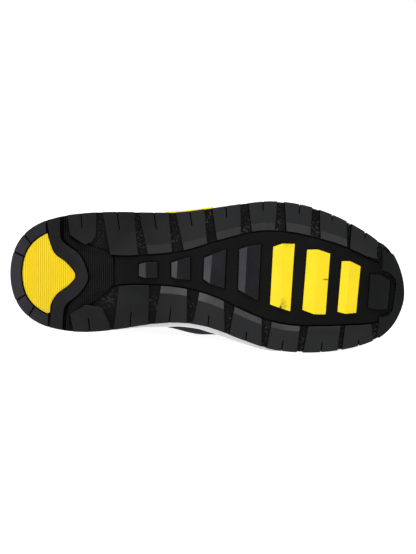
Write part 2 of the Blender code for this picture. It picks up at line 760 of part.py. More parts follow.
class Column:
    """One column of the upper, at an angle round the sole."""

    def __init__(self, angle):
        self.angle = angle
        self.along = (1 - math.cos(angle)) / 2
        x, y = outline(angle, midsole_inset(angle) + CLEARANCE)
        self.foot = np.array((x, y, float(footbed_z(x)) + CLEARANCE))
        low, high = SECTIONS[0]["along"], SECTIONS[-1]["along"]
        ridge_along = min(max(self.along, low), high)
        self.ridge = np.array((
            ridge_along * OUTSOLE_LENGTH,
            across_y(ridge_along, section(ridge_along, "across")),
            section(ridge_along, "height"),
        ))
        self.full, self.rise = section(self.along, "full"), section(self.along, "rise")
        side = "medial" if angle > 0 else "lateral"
        size = MEDIAL_SWELL if angle > 0 else LATERAL_SWELL
        self.swell = size * section(self.along, side)
        ends = self.along / low, (1 - self.along) / (1 - high)
        self.swell *= float(ease(min(ends)))
        ox, oy = outline(angle, -1.0)
        ix, iy = outline(angle, 0.0)
        self.out = np.array((ox - ix, oy - iy, 0.0))
        rim = float(rim_z(x)) + 2 * CLEARANCE
        self.rim_share = (rim - self.foot[2]) / (self.ridge[2] - self.foot[2])

    def point(self, turn):
        """Point at a turn from 0 at the feather edge to a right angle at the ridge."""
        inward = 1 - max(math.cos(turn), 0.0) ** self.full
        up = math.sin(turn) ** self.rise
        reach = self.ridge - self.foot
        u = max(up - self.rim_share, 0.0) / (1 - self.rim_share)
        bulge = self.swell * u**2 * (1 - u) ** 3 / SWELL_PEAK
        return self.foot + reach * np.array((inward, inward, up)) + self.out * bulge

    def turn_at_height(self, z):
        share = (z - self.foot[2]) / (self.ridge[2] - self.foot[2])
        if share >= 1:
            return math.pi / 2 + 0.2
        return math.asin(share ** (1 / self.rise))

    def turn_at_gap(self, gap):
        """Turn at which the column is a sideways distance from the ridge."""
        share = gap / abs(self.foot[1] - self.ridge[1])
        return math.acos(min(share ** (1 / self.full), 1.0))


def throat_gap(x):
    """Half the throat's width, round at its front end."""
    back = THROAT_FRONT - x
    if back <= 0:
        return 0.0
    grow = (THROAT_TOP_WIDTH - THROAT_FRONT_WIDTH) / 2
    gap = THROAT_FRONT_WIDTH / 2 + grow * back / THROAT_LENGTH
    radius = THROAT_FRONT_WIDTH / 2
    if back < radius:
        gap *= math.sqrt(1 - (1 - back / radius) ** 2)
    return gap


def top_turn(col):
    """Where a column ends: at the collar, the throat's edge or the ridge."""
    x = col.along * OUTSOLE_LENGTH
    if x >= THROAT_FRONT - 1e-9:
        return math.pi / 2
    gap = throat_gap(x)
    beside_throat = x > THROAT_FRONT - THROAT_REACH * THROAT_LENGTH
    throat = col.turn_at_gap(gap) if beside_throat else math.pi
    if col.along > COLLAR[-1]["along"]:
        return throat
    height = smooth_curve(column(COLLAR, "along"), column(COLLAR, "height", "follows"), col.along)
    collar = col.turn_at_height(float(height))
    near = max(COLLAR_BLEND - abs(collar - throat), 0.0) / COLLAR_BLEND
    return min(collar, throat) - near * near * COLLAR_BLEND / 4


def upper_angles(low=0.0, high=1.0):
    """Angles of one side's columns, closer together round the front of the throat."""
    radius = THROAT_FRONT_WIDTH / 2
    even = [float(angle_at(0.5 - 0.5 * math.cos(math.pi * k / RING_STEPS)))
            for k in range(RING_STEPS + 1)]
    throat = [THROAT_FRONT - radius * (1 - math.cos(math.pi * k / 8)) for k in range(5)]
    fixed = [float(angle_at(x / OUTSOLE_LENGTH)) for x in throat]
    kept = [a for a in even if all(abs(a - f) > CLOSEST_COLUMNS for f in fixed)]
    angles = sorted(kept + fixed)
    return [a for a in angles if low <= (1 - math.cos(a)) / 2 <= high]


def upper_sheet(runs, first_row=0, offset=0.0):
    """Open sheet of the upper over runs of columns, moved outwards."""
    bm = bmesh.new()
    rows = UPPER_ROWS - first_row
    for angles in runs:
        grid = []
        for angle in angles:
            col = Column(angle)
            top = top_turn(col)
            rim = math.asin(col.rim_share ** (1 / col.rise))
            turns = [0.0] + [rim + (top - rim) * r / (UPPER_ROWS - 1) for r in range(UPPER_ROWS)]
            turns = turns[first_row:]
            grid.append([bm.verts.new(col.point(t)) for t in turns])
        for left, right in zip(grid, grid[1:]):
            for r in range(rows):
                bm.faces.new((left[r], right[r], right[r + 1]))
                bm.faces.new((left[r], right[r + 1], left[r + 1]))
    bmesh.ops.remove_doubles(bm, verts=bm.verts, dist=1e-6)
    bmesh.ops.dissolve_degenerate(bm, edges=bm.edges, dist=1e-6)
    bmesh.ops.recalc_face_normals(bm, faces=bm.faces)
    middle = Vector((OUTSOLE_LENGTH / 2, 0, HEEL_STACK))
    outward = sum(f.normal.dot(f.calc_center_median() - middle) * f.calc_area() for f in bm.faces)
    if outward < 0:
        bmesh.ops.reverse_faces(bm, faces=bm.faces)
    bm.normal_update()
    for vert in bm.verts:
        vert.co += vert.normal * offset
    return bm


def runs_over(low, high):
    """Runs of columns over a stretch of the length, in the order of their angles."""
    half = upper_angles(low, high)
    if low == 0.0:
        return [[-a for a in reversed(half) if a > 1e-6] + half]
    return [half, [-a for a in reversed(half)]]


def eyelet_places():
    """Distance along the length of each pair of eyelets, from front to top."""
    first = THROAT_FRONT - THROAT_FRONT_WIDTH * EYELET_FIRST
    last = THROAT_FRONT - THROAT_LENGTH * EYELET_LAST
    return [first + (last - first) * k / (EYELET_PAIRS - 1) for k in range(EYELET_PAIRS)]


def skin_point(x, side, beside, offset):
    """Point over the upper's own surface, a distance beside its ridge and offset outwards."""
    angle = float(angle_at(x / OUTSOLE_LENGTH, side))
    col, step = Column(angle), 1e-3
    near, far = Column(angle - step), Column(angle + step)
    turn = col.turn_at_gap(max(beside, 1e-4))
    low, high = turn - step, min(turn + step, math.pi / 2)
    rise = col.point(high) - col.point(low)
    run = far.point(turn) - near.point(turn)
    normal = np.cross(run, rise)
    normal /= np.linalg.norm(normal)
    if normal[2] < 0:
        normal = -normal
    return col.point(turn) + normal * offset, normal


def make_eyelet_cutters(cutters):
    bm = bmesh.new()
    for x in eyelet_places():
        for side in (LATERAL, MEDIAL):
            place, normal = skin_point(x, side, throat_gap(x) + EYELET_INSET, 0.0)
            turn = Vector(normal).to_track_quat("Z", "Y").to_matrix().to_4x4()
            bmesh.ops.create_cone(
                bm, cap_ends=True, segments=8, radius1=EYELET_DIAMETER / 2,
                radius2=EYELET_DIAMETER / 2, depth=5 * UPPER_WALL,
                matrix=Matrix.Translation(Vector(place)) @ turn,
            )
    return mesh_object("eyelet_holes", bm, cutters)


def make_upper(collection, holes):
    """The shell of the upper, padded inwards round the collar."""
    bm = upper_sheet(runs_over(0.0, 1.0))
    upper = mesh_object("upper", bm, collection, "black mesh")
    padding = upper.vertex_groups.new(name="padding")
    thin = UPPER_WALL / COLLAR_PADDING
    for vert in upper.data.vertices:
        along = vert.co.x / OUTSOLE_LENGTH
        height = float(smooth_curve(column(COLLAR, "along"),
                                    column(COLLAR, "height", "follows"), along))
        near = ease(1 - (height - vert.co.z) / (PADDING_DEPTH * COLLAR_ANKLE_HEIGHT))
        near *= ease(share_of(along, PADDING_END, PADDING_START))
        weight = thin + (1 - thin) * float(near)
        padding.add([vert.index], weight, "REPLACE")
    wall = upper.modifiers.new("wall", "SOLIDIFY")
    wall.thickness, wall.offset, wall.vertex_group = COLLAR_PADDING, -1, "padding"
    cut(upper, holes)
    return upper


def side_prism(name, points, cutters):
    """Prism across the whole shoe with the given outline in side view."""
    bm = bmesh.new()
    reach = BALL_WIDTH
    sides = [[bm.verts.new((x, y, z)) for x, z in points] for y in (-reach, reach)]
    bm.faces.new(sides[0])
    bm.faces.new(sides[1])
    for i in range(len(points)):
        j = (i + 1) % len(points)
        bm.faces.new((sides[0][i], sides[0][j], sides[1][j], sides[1][i]))
    return mesh_object(name, bm, cutters)


def side_line(rows, height):
    """Points of a smooth line in side view through a table's rows."""
    knots = np.arange(len(rows))
    fine = np.linspace(0, len(rows) - 1, 2 * len(rows) - 1)
    xs = smooth_curve(knots, column(rows, "along"), fine) * OUTSOLE_LENGTH
    zs = smooth_curve(knots, column(rows, "height"), fine) * height
    return [(float(x), float(z)) for x, z in zip(xs, zs)]


def overlay(name, rows, first_row, prism, collection, colour):
    """A second skin over part of the upper, cut to its outline in side view."""
    low = max(min(column(rows, "along")) - OVERLAY_MARGIN, 0.0)
    high = 1.0 if rows is TOE_CAP_EDGE else max(column(rows, "along")) + OVERLAY_MARGIN
    bm = upper_sheet(runs_over(low, high), first_row, CLEARANCE)
    skin = mesh_object(name, bm, collection, colour)
    thick = skin.modifiers.new("thickness", "SOLIDIFY")
    thick.thickness, thick.offset = OVERLAY_THICKNESS, 1
    cut(skin, prism, "INTERSECT")
    return skin


def rest_matrix(pieces):
    """Turn and place that set the shoe down on the medial face of its hull that lies nearest
    to its centre, which is the face that it rests on."""
    graph = bpy.context.evaluated_depsgraph_get()
    points, volume, centre = [], 0.0, Vector()
    for piece in pieces:
        mesh = piece.evaluated_get(graph).to_mesh()
        mesh.calc_loop_triangles()
        for triangle in mesh.loop_triangles:
            a, b, c = (mesh.vertices[i].co for i in triangle.vertices)
            wedge = a.dot(b.cross(c)) / 6
            volume += wedge
            centre += (a + b + c) / 4 * wedge
        points += [v.co.copy() for v in mesh.vertices]
    hull = bmesh.new()
    for point in points:
        hull.verts.new(point)
    made = bmesh.ops.convex_hull(hull, input=hull.verts)
    loose = [g for g in made["geom_interior"] if isinstance(g, bmesh.types.BMVert)]
    bmesh.ops.delete(hull, geom=loose, context="VERTS")
    bmesh.ops.recalc_face_normals(hull, faces=hull.faces)
    centre /= volume
    medial = [f for f in hull.faces if f.normal.y > 0.8]
    rest = min(medial, key=lambda f: f.normal.dot(f.verts[0].co - centre))
    up = -rest.normal.normalized()
    hull.free()
    forward = (Vector((1, 0, 0)) - up * up.x).normalized()
    turn = Matrix((forward, up.cross(forward), up))
    laid = [turn @ p for p in points]
    low = Vector(min(p[i] for p in laid) for i in range(3))
    high = Vector(max(p[i] for p in laid) for i in range(3))
    middle = (low + high) / 2
    return Matrix.Translation((-middle.x, -middle.y, -low.z)) @ turn.to_4x4()


def make_shoe():
    collection = bpy.data.collections.new("safety sneaker")
    cutters = bpy.data.collections.new("cutters")
    for made in (collection, cutters):
        bpy.context.scene.collection.children.link(made)
    pieces = [make_outsole(collection, cutters), make_heel_pad(collection)]
    pieces += make_forefoot_bars(collection)
    pieces += [make_midsole(collection, cutters), make_arch_clip(collection)]
    pieces.append(make_insole(collection))
    holes = make_eyelet_cutters(cutters)
    pieces.append(make_upper(collection, holes))
    pieces += make_overlays(collection, cutters, holes)
    pieces.append(make_tongue(collection))
    pieces += make_laces(collection, cutters)
    shoe = bpy.data.objects.new("shoe", None)
    collection.objects.link(shoe)
    for piece in list(collection.objects) + list(cutters.objects):
        if piece is not shoe:
            piece.parent = shoe
    bpy.context.view_layer.update()
    shoe.matrix_world = rest_matrix(pieces)


def make_overlays(collection, cutters, holes):
    """Toe cap, heel counter and eyestay over the upper."""
    length = OUTSOLE_LENGTH
    top, far = 2 * COLLAR_BACK_HEIGHT, 1.1 * length
    cap_line = side_line(TOE_CAP_EDGE, TOE_BOX_HEIGHT)
    cap = side_prism("toe_cap_outline", cap_line + [(far, top), (far, cap_line[0][1])], cutters)
    counter_line = side_line(COUNTER_EDGE, COLLAR_BACK_HEIGHT)
    back = counter_line[-1][0]
    counter = side_prism("counter_outline", counter_line + [(back, 0.0), (counter_line[0][0], 0.0)],
                         cutters)
    eyestay_line = side_line(EYESTAY_EDGE, INSTEP_HEIGHT)
    eyestay = side_prism("eyestay_outline",
                         eyestay_line + [(eyestay_line[-1][0], top), (eyestay_line[0][0], top)], cutters)
    made = [
        overlay("toe_cap", TOE_CAP_EDGE, 1, cap, collection, "black film"),
        overlay("heel_counter", COUNTER_EDGE, 1, counter, collection, "black film"),
        overlay("eyestay", EYESTAY_EDGE, UPPER_ROWS // 2, eyestay, collection, "black suede"),
    ]
    cut(made[-1], holes)
    return made


def make_tongue(collection):
    """Padded sheet under the throat, from under the vamp to above the eyestay."""
    front, back = THROAT_FRONT + TONGUE_TUCK, THROAT_FRONT - TONGUE_LENGTH * THROAT_LENGTH
    depth = -(UPPER_WALL + TONGUE_GAP)
    steps, rows = 11, 4
    lower, upper = [], []
    for k in range(steps + 1):
        x = front + (back - front) * k / steps
        fade = math.sqrt(1 - TONGUE_ROUND * share_of(k / steps, 1 - TONGUE_TIP, 1.0) ** 2)
        beside = (max(throat_gap(x), THROAT_FRONT_WIDTH / 3) + TONGUE_OVERLAP) * fade
        under, over = [], []
        for r in range(-rows, rows + 1):
            side = LATERAL if r < 0 else MEDIAL
            gap = max(abs(r) / rows * beside, 2e-4)
            over.append(skin_point(x, side, gap, depth)[0])
            under.append(skin_point(x, side, gap, depth - TONGUE_THICKNESS)[0])
        lower.append(under)
        upper.append(over)
    bm = bmesh.new()
    slab(bm, lower, upper)
    return mesh_object("tongue", bm, collection, "black mesh")


def lace_strand(start, end, hump):
    """Flat strand over the tongue. Each end is (x, side, over): it lies over the eyestay to
    its eyelet, or stops where it goes under the throat's edge."""
    bm = bmesh.new()
    steps = 9
    rest = CLEARANCE + OVERLAY_THICKNESS + LACE_LIFT + LACE_THICKNESS / 2
    tongue = LACE_LIFT - UPPER_WALL + LACE_THICKNESS / 2
    path = []
    for k in range(steps + 1):
        t = k / steps
        x = start[0] + (end[0] - start[0]) * t
        gap = throat_gap(x)
        reach = [gap + (EYELET_INSET if over else -LACE_EDGE_GAP) for _, _, over in (start, end)]
        beside = reach[0] - (reach[0] + reach[1]) * t
        _, side, over = start if beside > 0 else end
        blend = float(ease(share_of(abs(beside) / gap, *LACE_CLIMB))) if over else 0.0
        offset = tongue + (rest - tongue) * blend + hump * math.sin(math.pi * t) ** 2
        path.append(skin_point(x, side, max(abs(beside), 2e-4), offset))
    lower, upper = [], []
    for k, (place, normal) in enumerate(path):
        before, after = path[max(k - 1, 0)][0], path[min(k + 1, steps)][0]
        across = np.cross(after - before, normal)
        across *= LACE_WIDTH / 2 / np.linalg.norm(across)
        lift = normal * LACE_THICKNESS / 2
        lower.append([place - across - lift, place + across - lift])
        upper.append([place - across * 0.8 + lift, place + across * 0.8 + lift])
    slab(bm, lower, upper)
    return bm


def make_laces(collection, cutters):
    """One straight bar at the front and a crossing between each two pairs of eyelets."""
    places = eyelet_places()
    bar = lace_strand((places[0], LATERAL, True), (places[0], MEDIAL, True), 0.0)
    laces = [mesh_object("lace_bar", bar, collection, "black lace")]
    for k, (front, back) in enumerate(zip(places, places[1:])):
        over = k > 0
        begin = front if over else front - LACE_START * LACE_WIDTH
        left = lace_strand((begin, LATERAL, over), (back, MEDIAL, False), 0.0)
        right = lace_strand((begin, MEDIAL, over), (back, LATERAL, False),
                             LACE_HUMP * LACE_THICKNESS)
        laces.append(union_all(f"lace_cross_{k + 1}", [left, right], collection, cutters,
                               "black lace"))
    return laces


for old in list(bpy.data.objects):
    bpy.data.objects.remove(old, do_unlink=True)
make_shoe()
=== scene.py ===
# Looks of a right safety sneaker that lies on its medial side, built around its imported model.
# Every piece is made in the shoe's own frame, in metres: x from heel to toe, y towards the
# medial side, z up from the tread. One matrix then lays the pieces down as the model lies.

import json
import math

import bpy
import numpy as np
from mathutils import Matrix, Vector


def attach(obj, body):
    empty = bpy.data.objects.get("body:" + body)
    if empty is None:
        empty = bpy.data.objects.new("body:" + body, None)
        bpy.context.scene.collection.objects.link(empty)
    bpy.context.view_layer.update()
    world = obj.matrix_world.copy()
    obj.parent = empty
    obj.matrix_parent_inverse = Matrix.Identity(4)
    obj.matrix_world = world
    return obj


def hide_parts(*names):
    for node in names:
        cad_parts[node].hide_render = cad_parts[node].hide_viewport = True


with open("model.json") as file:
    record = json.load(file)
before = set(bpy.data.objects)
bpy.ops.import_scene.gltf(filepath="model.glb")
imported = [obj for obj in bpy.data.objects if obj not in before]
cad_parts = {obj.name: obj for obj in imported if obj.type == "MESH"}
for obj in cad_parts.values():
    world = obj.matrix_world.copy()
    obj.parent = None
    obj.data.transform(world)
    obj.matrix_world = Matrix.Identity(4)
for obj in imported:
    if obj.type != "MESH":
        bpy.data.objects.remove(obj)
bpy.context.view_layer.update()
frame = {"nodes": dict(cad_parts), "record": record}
print("frame loaded:", len(frame["nodes"]), "nodes")

mm = 0.001
lateral, medial = -1, 1
sideNames = {lateral: "lateral", medial: "medial"}


def table(columns, *rows):
    return [dict(zip(columns.split(), row)) for row in rows]


def smoothCurve(knots, values, at):
    # cubic through the knots, with tangents from each knot's neighbours
    knots, values = np.asarray(knots, float), np.asarray(values, float)
    spans = np.diff(knots)
    slopes = np.diff(values) / spans
    between = (slopes[:-1] * spans[1:] + slopes[1:] * spans[:-1]) / (spans[:-1] + spans[1:])
    tangents = np.array([slopes[0], *between, slopes[-1]])
    at = np.clip(at, knots[0], knots[-1])
    k = np.clip(np.searchsorted(knots, at) - 1, 0, len(spans) - 1)
    t = (at - knots[k]) / spans[k]
    return ((2 * t**3 - 3 * t**2 + 1) * values[k] + (t**3 - 2 * t**2 + t) * spans[k] * tangents[k]
            + (3 * t**2 - 2 * t**3) * values[k + 1] + (t**3 - t**2) * spans[k] * tangents[k + 1])


def straightLine(knots, values, at):
    return np.interp(at, knots, values)


def curve(rows, name, at, by="along", line=smoothCurve):
    # one column of a table, read against another
    return line([row[by] for row in rows], [row[name] for row in rows], at)


def evenly(rows, t, line=smoothCurve):
    # a table's along and across, read from its first row at 0 to its last at 1
    knots = np.linspace(0, 1, len(rows))
    return [line(knots, [row[name] for row in rows], t) for name in ("along", "across")]


def shareOf(value, start, end):
    return np.clip((np.asarray(value, float) - start) / (end - start), 0, 1)


def ease(t):
    t = np.clip(t, 0, 1)
    return t * t * (3 - 2 * t)


def unit(v):
    return v / np.maximum(np.linalg.norm(v, axis=-1, keepdims=True), 1e-12)


def around(count):
    return np.linspace(0, 2 * math.pi, count + 1)[:-1]


def runAlong(path):
    # distance covered at each point of a path
    return np.concatenate([[0], np.cumsum(np.linalg.norm(np.diff(path, axis=0), axis=1))])


# Sole, as in the part's source

sole = {
    "length": 0.300, "ballWidth": 0.1135, "waistWidth": 0.0840, "heelWidth": 0.0905,
    "archOverhang": 0.0042, "midsoleInset": 0.0004, "lugDepth": 0.0040, "plateThickness": 0.0025,
    "toeSpring": 0.0140, "archLift": 0.0015, "heelBevel": 0.0025, "heelStack": 0.0270,
    "ballStack": 0.0170, "toeStack": 0.0145, "rimThickness": 0.0035, "rimHeight": 0.0070,
    "heelFlare": 0.0025, "sideGroove": 0.0008, "clipDepth": 0.0030, "clipProud": 0.0012,
    "toeTipShift": 0.128, "clearance": 0.0003, "archSpan": (0.27, 0.53), "toeSpan": (0.715, 1.0),
    "heelBevelEnd": 0.045, "mountAlong": 0.205, "mountAcross": 0.9,
}
length, clearance = sole["length"], sole["clearance"]
heel, waist, ball = sole["heelWidth"], sole["waistWidth"], sole["ballWidth"]

outlineRows = table(
    "width along lateral medial",
    (heel, 0.011, -0.201, 0.202), (heel, 0.041, -0.346, 0.345), (heel, 0.082, -0.432, 0.432),
    (heel, 0.125, -0.476, 0.474), (heel, 0.202, -0.509, 0.492), (heel, 0.278, -0.516, 0.466),
    (waist, 0.354, -0.550, 0.461), (waist, 0.427, -0.553, 0.446), (waist, 0.500, -0.584, 0.485),
    (ball, 0.583, -0.464, 0.440), (ball, 0.659, -0.483, 0.507), (ball, 0.735, -0.462, 0.530),
    (ball, 0.812, -0.398, 0.522), (ball, 0.888, -0.297, 0.483), (ball, 0.939, -0.203, 0.426),
    (ball, 0.969, -0.124, 0.354), (ball, 0.990, -0.019, 0.256),
)
stackRows = table(
    "along height", (0.00, sole["heelStack"]), (0.22, sole["heelStack"]),
    (0.45, (sole["heelStack"] + sole["ballStack"]) / 2), (0.70, sole["ballStack"]),
    (0.86, sole["toeStack"]), (1.00, sole["toeStack"]),
)
rimWave = table(
    "along height",
    (0.00, 1.6), (0.12, 1.5), (0.30, 1.0), (0.48, 1.1), (0.70, 1.0), (0.86, 1.1), (1.00, 1.7),
)
waistOverhang = table(
    "along share", (0.16, 0.00), (0.24, 0.00), (0.30, 0.25), (0.38, 0.70), (0.50, 1.00),
    (0.60, 0.72), (0.655, 0.40), (0.70, 0.00), (0.78, 0.00),
)


def angleAt(along, side=medial):
    # the sole's edge is read by an angle: toe -pi, lateral side, heel 0, medial side, toe pi
    return side * np.arccos(np.clip(1 - 2 * np.asarray(along, float), -1, 1))


def alongAt(angle):
    return (1 - np.cos(angle)) / 2


def outlineKnots():
    sides = [[(float(angleAt(row["along"], side)), row["width"] * row[name]) for row in outlineRows]
             for side, name in sideNames.items()]
    once = sides[0][::-1] + [(0.0, 0.0)] + sides[1] + [(math.pi, sole["toeTipShift"] * ball)]
    before = [(a - 2 * math.pi, y) for a, y in once[-3:]]
    after = [(a + 2 * math.pi, y) for a, y in once[:2]]
    return np.array(before + once + after).T


soleKnots = outlineKnots()


def outline(angle, inset=0.0):
    def place(a):
        return np.array((length * alongAt(a), smoothCurve(*soleKnots, a)))

    angle, step = np.asarray(angle, float), 1e-3
    dx, dy = place(angle + step) - place(angle - step)
    x, y = place(angle)
    size = np.hypot(dx, dy)
    return x + inset * dy / size, y - inset * dx / size


def edgeY(along, side):
    return outline(angleAt(along, side))[1]


def acrossY(along, share):
    low, high = edgeY(along, lateral), edgeY(along, medial)
    return low + (high - low) * share


def treadZ(x):
    along = np.asarray(x, float) / length
    arch = sole["archLift"] * np.sin(np.pi * shareOf(along, *sole["archSpan"])) ** 2
    toe = sole["toeSpring"] * shareOf(along, *sole["toeSpan"]) ** 1.7
    return arch + toe + sole["heelBevel"] * shareOf(along, sole["heelBevelEnd"], 0.0) ** 1.5


def footbedZ(x):
    x = np.asarray(x, float)
    beyondBevel = np.maximum(x, sole["heelBevelEnd"] * length)
    return treadZ(beyondBevel) + curve(stackRows, "height", x / length)


def rimZ(x):
    return footbedZ(x) + sole["rimHeight"] * curve(rimWave, "height", np.asarray(x) / length)


def overhang(angle):
    inset = sole["midsoleInset"]
    share = curve(waistOverhang, "share", alongAt(angle))
    return np.where(np.asarray(angle) < 0, -inset, (sole["archOverhang"] + inset) * share - inset)


def midsoleInset(angle):
    flare = sole["heelFlare"] * ease(shareOf(alongAt(angle), 0.40, 0.20))
    return sole["rimThickness"] + flare - overhang(angle)


def midsoleFloor(x):
    return treadZ(x) + sole["lugDepth"] + sole["plateThickness"] + clearance


def restMatrix():
    # the model's heel mount gives the tread's plane and place in the world
    mount = {m["name"]: m for m in frame["record"]["mounts"]}["heel_tread"]
    up = -Vector(mount["axis"]).normalized()
    forward = up.cross(Vector((0, 1, 0))).normalized()
    if forward.x < 0:
        forward = -forward
    turn = Matrix((forward, up.cross(forward), up)).transposed()
    along = sole["mountAlong"]
    onShoe = Vector((along * length, float(acrossY(along, sole["mountAcross"])), 0.0))
    return Matrix.Translation(Vector(mount["pos_m"]) - turn @ onShoe) @ turn.to_4x4()


rest = restMatrix()


# Finishes

def srgb(*levels):
    # colour as read from a picture, 0 to 255, as linear light
    return tuple(((v / 255 + 0.055) / 1.055) ** 2.4 if v > 10 else v / 255 / 12.92 for v in levels)


def times(colour, by):
    return [c * by for c in colour]


def operator(operation, reflected=False):
    def apply(socket, other=0.0):
        first, second = (other, socket) if reflected else (socket, other)
        return socket.finish.node("ShaderNodeMath", {"operation": operation}, {0: first, 1: second})
    return apply


class Socket:
    # a node's output that adds up and multiplies like a number
    def __init__(self, finish, output):
        self.finish, self.output = finish, output

    __add__, __radd__ = operator("ADD"), operator("ADD", True)
    __sub__, __rsub__ = operator("SUBTRACT"), operator("SUBTRACT", True)
    __mul__, __rmul__ = operator("MULTIPLY"), operator("MULTIPLY", True)
    __truediv__, __rtruediv__ = operator("DIVIDE"), operator("DIVIDE", True)
    __pow__, __rpow__ = operator("POWER"), operator("POWER", True)
    sine, size = operator("SINE"), operator("ABSOLUTE")

    def between(self, low, high):
        # 0 below low and 1 above high, eased
        return self.finish.node("ShaderNodeMapRange", {"interpolation_type": "SMOOTHSTEP"},
                                {"Value": self, "From Min": low, "From Max": high})


finishes = {}


class Finish:
    def __init__(self, name, slot, roughness, **fixed):
        finishes[name] = self
        self.slot, self.material = slot, bpy.data.materials.new(name)
        self.material.use_nodes = True
        self.tree = self.material.node_tree
        self.shader = self.tree.nodes["Principled BSDF"]
        for key, value in {"Roughness": roughness, **fixed}.items():
            self.shader.inputs[key.replace("_", " ")].default_value = value
        self.place = self.node("ShaderNodeTexCoord", {}, {}, 3)

    def node(self, kind, settings, sockets, output=0):
        made = self.tree.nodes.new(kind)
        for key, value in settings.items():
            setattr(made, key, value)
        for key, value in sockets.items():
            if isinstance(value, Socket):
                self.tree.links.new(value.output, made.inputs[key])
            else:
                made.inputs[key].default_value = value
        return Socket(self, made.outputs[output])

    def lie(self):
        # how the cloth lies where a mesh stores it, or else the place in the shoe's frame
        stored = self.node("ShaderNodeAttribute", {"attribute_name": "clothPlace"}, {}, 1)
        split = self.node("ShaderNodeSeparateXYZ", {}, {0: stored}).output.node
        return [Socket(self, output) for output in split.outputs]

    def noise(self, scale, detail=3.0):
        return self.node("ShaderNodeTexNoise", {},
                         {"Vector": self.place, "Scale": scale, "Detail": detail})

    def cells(self, scale, feature="F1"):
        return self.node("ShaderNodeTexVoronoi", {"feature": feature},
                         {"Vector": self.place, "Scale": scale})

    def mix(self, factor, first, second):
        sockets = {0: factor}
        for key, colour in ((6, first), (7, second)):
            sockets[key] = colour if isinstance(colour, Socket) else (*colour, 1)
        return self.node("ShaderNodeMix", {"data_type": "RGBA"}, sockets, 2)

    def clouded(self, cloud, colour, by=1.3, low=0.3):
        return self.mix(cloud.between(low, 0.7), colour, times(colour, by))

    def look(self, colour, roughness, height, distance):
        bump = self.node("ShaderNodeBump", {}, {"Distance": distance, "Height": height})
        for name, value in (("Base Color", colour), ("Roughness", roughness), ("Normal", bump)):
            self.tree.links.new(value.output, self.shader.inputs[name])


def ribShade(finish, pitch, amount, shade, deep, low=0.0, high=0.75):
    # painted shade: darker between the ribs
    between = 1 - (finish.lie()[0] * (math.pi / pitch)).sine().size().between(low, high)
    return finish.mix(between * amount, shade, deep)


def rubberFinish(name, colour, dusty, roughness=0.5, specular=0.2, grain=0.00006, mottle=0.0,
                 ahead=None, ribs=0.0, speckle=None, slot="black_rubber"):
    finish = Finish(name, slot, roughness, Specular_IOR_Level=specular)
    cloud, fine = finish.noise(45.0, 4.0), finish.noise(2600.0, 2.0)
    patches = cloud.between(0.38, 0.72)
    if ahead:
        # lighter from the arch to the toe
        colour = finish.mix(finish.lie()[0].between(0.09, 0.16), colour, ahead)
    shade = finish.mix(patches * 0.8, colour, dusty)
    if speckle:
        spots = finish.noise(800.0, 2.0).between(0.54, 0.70)
        shade = finish.mix(spots * cloud.between(0.42, 0.62), shade, speckle)
    # painted shade between the ribs
    if ribs:
        shade = ribShade(finish, ribs, 1.0, shade, (0, 0, 0), 0.5, 1.0)
    height = fine * 0.5
    if mottle:
        height = height + finish.cells(900.0) * mottle
    finish.look(shade, patches * 0.10 + fine * 0.10 + (roughness - 0.08), height, grain)


def yellowFinish(name, colour, scuffs=(), ribs=0.0):
    finish = Finish(name, "yellow_rubber", 0.42, Specular_IOR_Level=0.25)
    cloud, fine = finish.noise(60.0, 4.0), finish.noise(1800.0, 3.0)
    shade = finish.mix(cloud.between(0.35, 0.75) * 0.5, colour, times(colour, 0.86))
    # painted shade between the ribs
    if ribs:
        shade = ribShade(finish, ribs, 0.8, shade, srgb(170, 136, 10))
    for atX, atY, wide, tall, depth in scuffs:
        x, y, _ = finish.lie()
        away = ((x - atX) / wide) ** 2.0 + ((y - atY) / tall) ** 2.0
        mark = (1 - away.between(0.0, 1.0)) * finish.noise(500.0, 3.0).between(0.2, 0.7) * depth
        shade = finish.mix(mark, shade, srgb(70, 62, 24))
    finish.look(shade, cloud * 0.12 + fine * 0.12 + 0.34, fine, 0.00004)


def foamFinish(name, colour, grey):
    finish = Finish(name, "white_foam", 0.62, Specular_IOR_Level=0.35)
    cloud, pores = finish.noise(30.0, 4.0), finish.cells(1500.0)
    finish.look(finish.mix(cloud.between(0.45, 0.8) * 0.6, colour, grey), cloud * 0.12 + 0.56,
                pores * 0.7 + finish.noise(700.0) * 0.5, 0.00007)


def meshFinish(name, colour, pitch, deep):
    # open knit: rows of round holes, every second row moved by half a hole
    finish = Finish(name, "black_mesh", 0.85, Specular_IOR_Level=0.1)
    u, v, _ = finish.lie()
    turn, cloud = 2 * math.pi / pitch, finish.noise(55.0)
    weave = (u * turn).sine() * (v * (turn * 0.58)).sine() + (
        (u * (turn / 2)).sine() * (v * (turn * 1.16)).sine()) * 0.25
    hole = weave.between(0.25, 0.75)
    yarn = (u * (turn * 6) + v * (turn * 2)).sine() * 0.12
    # the holes get painted shade, the deep colour
    finish.look(finish.mix(hole * 0.85, finish.clouded(cloud, colour, 1.35), deep),
                0.92 - hole * 0.1 + cloud * 0.06, (1 - hole) + yarn, 0.00035)


def suedeFinish(name, colour):
    finish = Finish(name, "black_suede", 0.9, Specular_IOR_Level=0.2, Sheen_Weight=0.15,
                    Sheen_Roughness=0.6)
    nap, fibre = finish.noise(160.0, 5.0), finish.noise(3200.0)
    finish.look(finish.clouded(nap, colour), fibre * 0.12 + 0.82, fibre * 0.7 + nap * 0.6, 0.00016)


def filmFinish(name, colour, roughness):
    # thin moulded film with a fine leather-like print
    finish = Finish(name, "black_film", roughness, Specular_IOR_Level=0.5)
    cells, cloud = finish.cells(1100.0, "DISTANCE_TO_EDGE"), finish.noise(70.0, 4.0)
    finish.look(finish.clouded(cloud, colour, low=0.35), cloud * 0.14 + (roughness - 0.05),
                cells.between(0.0, 0.18) * 0.7 + finish.noise(2400.0, 2.0) * 0.3, 0.00009)


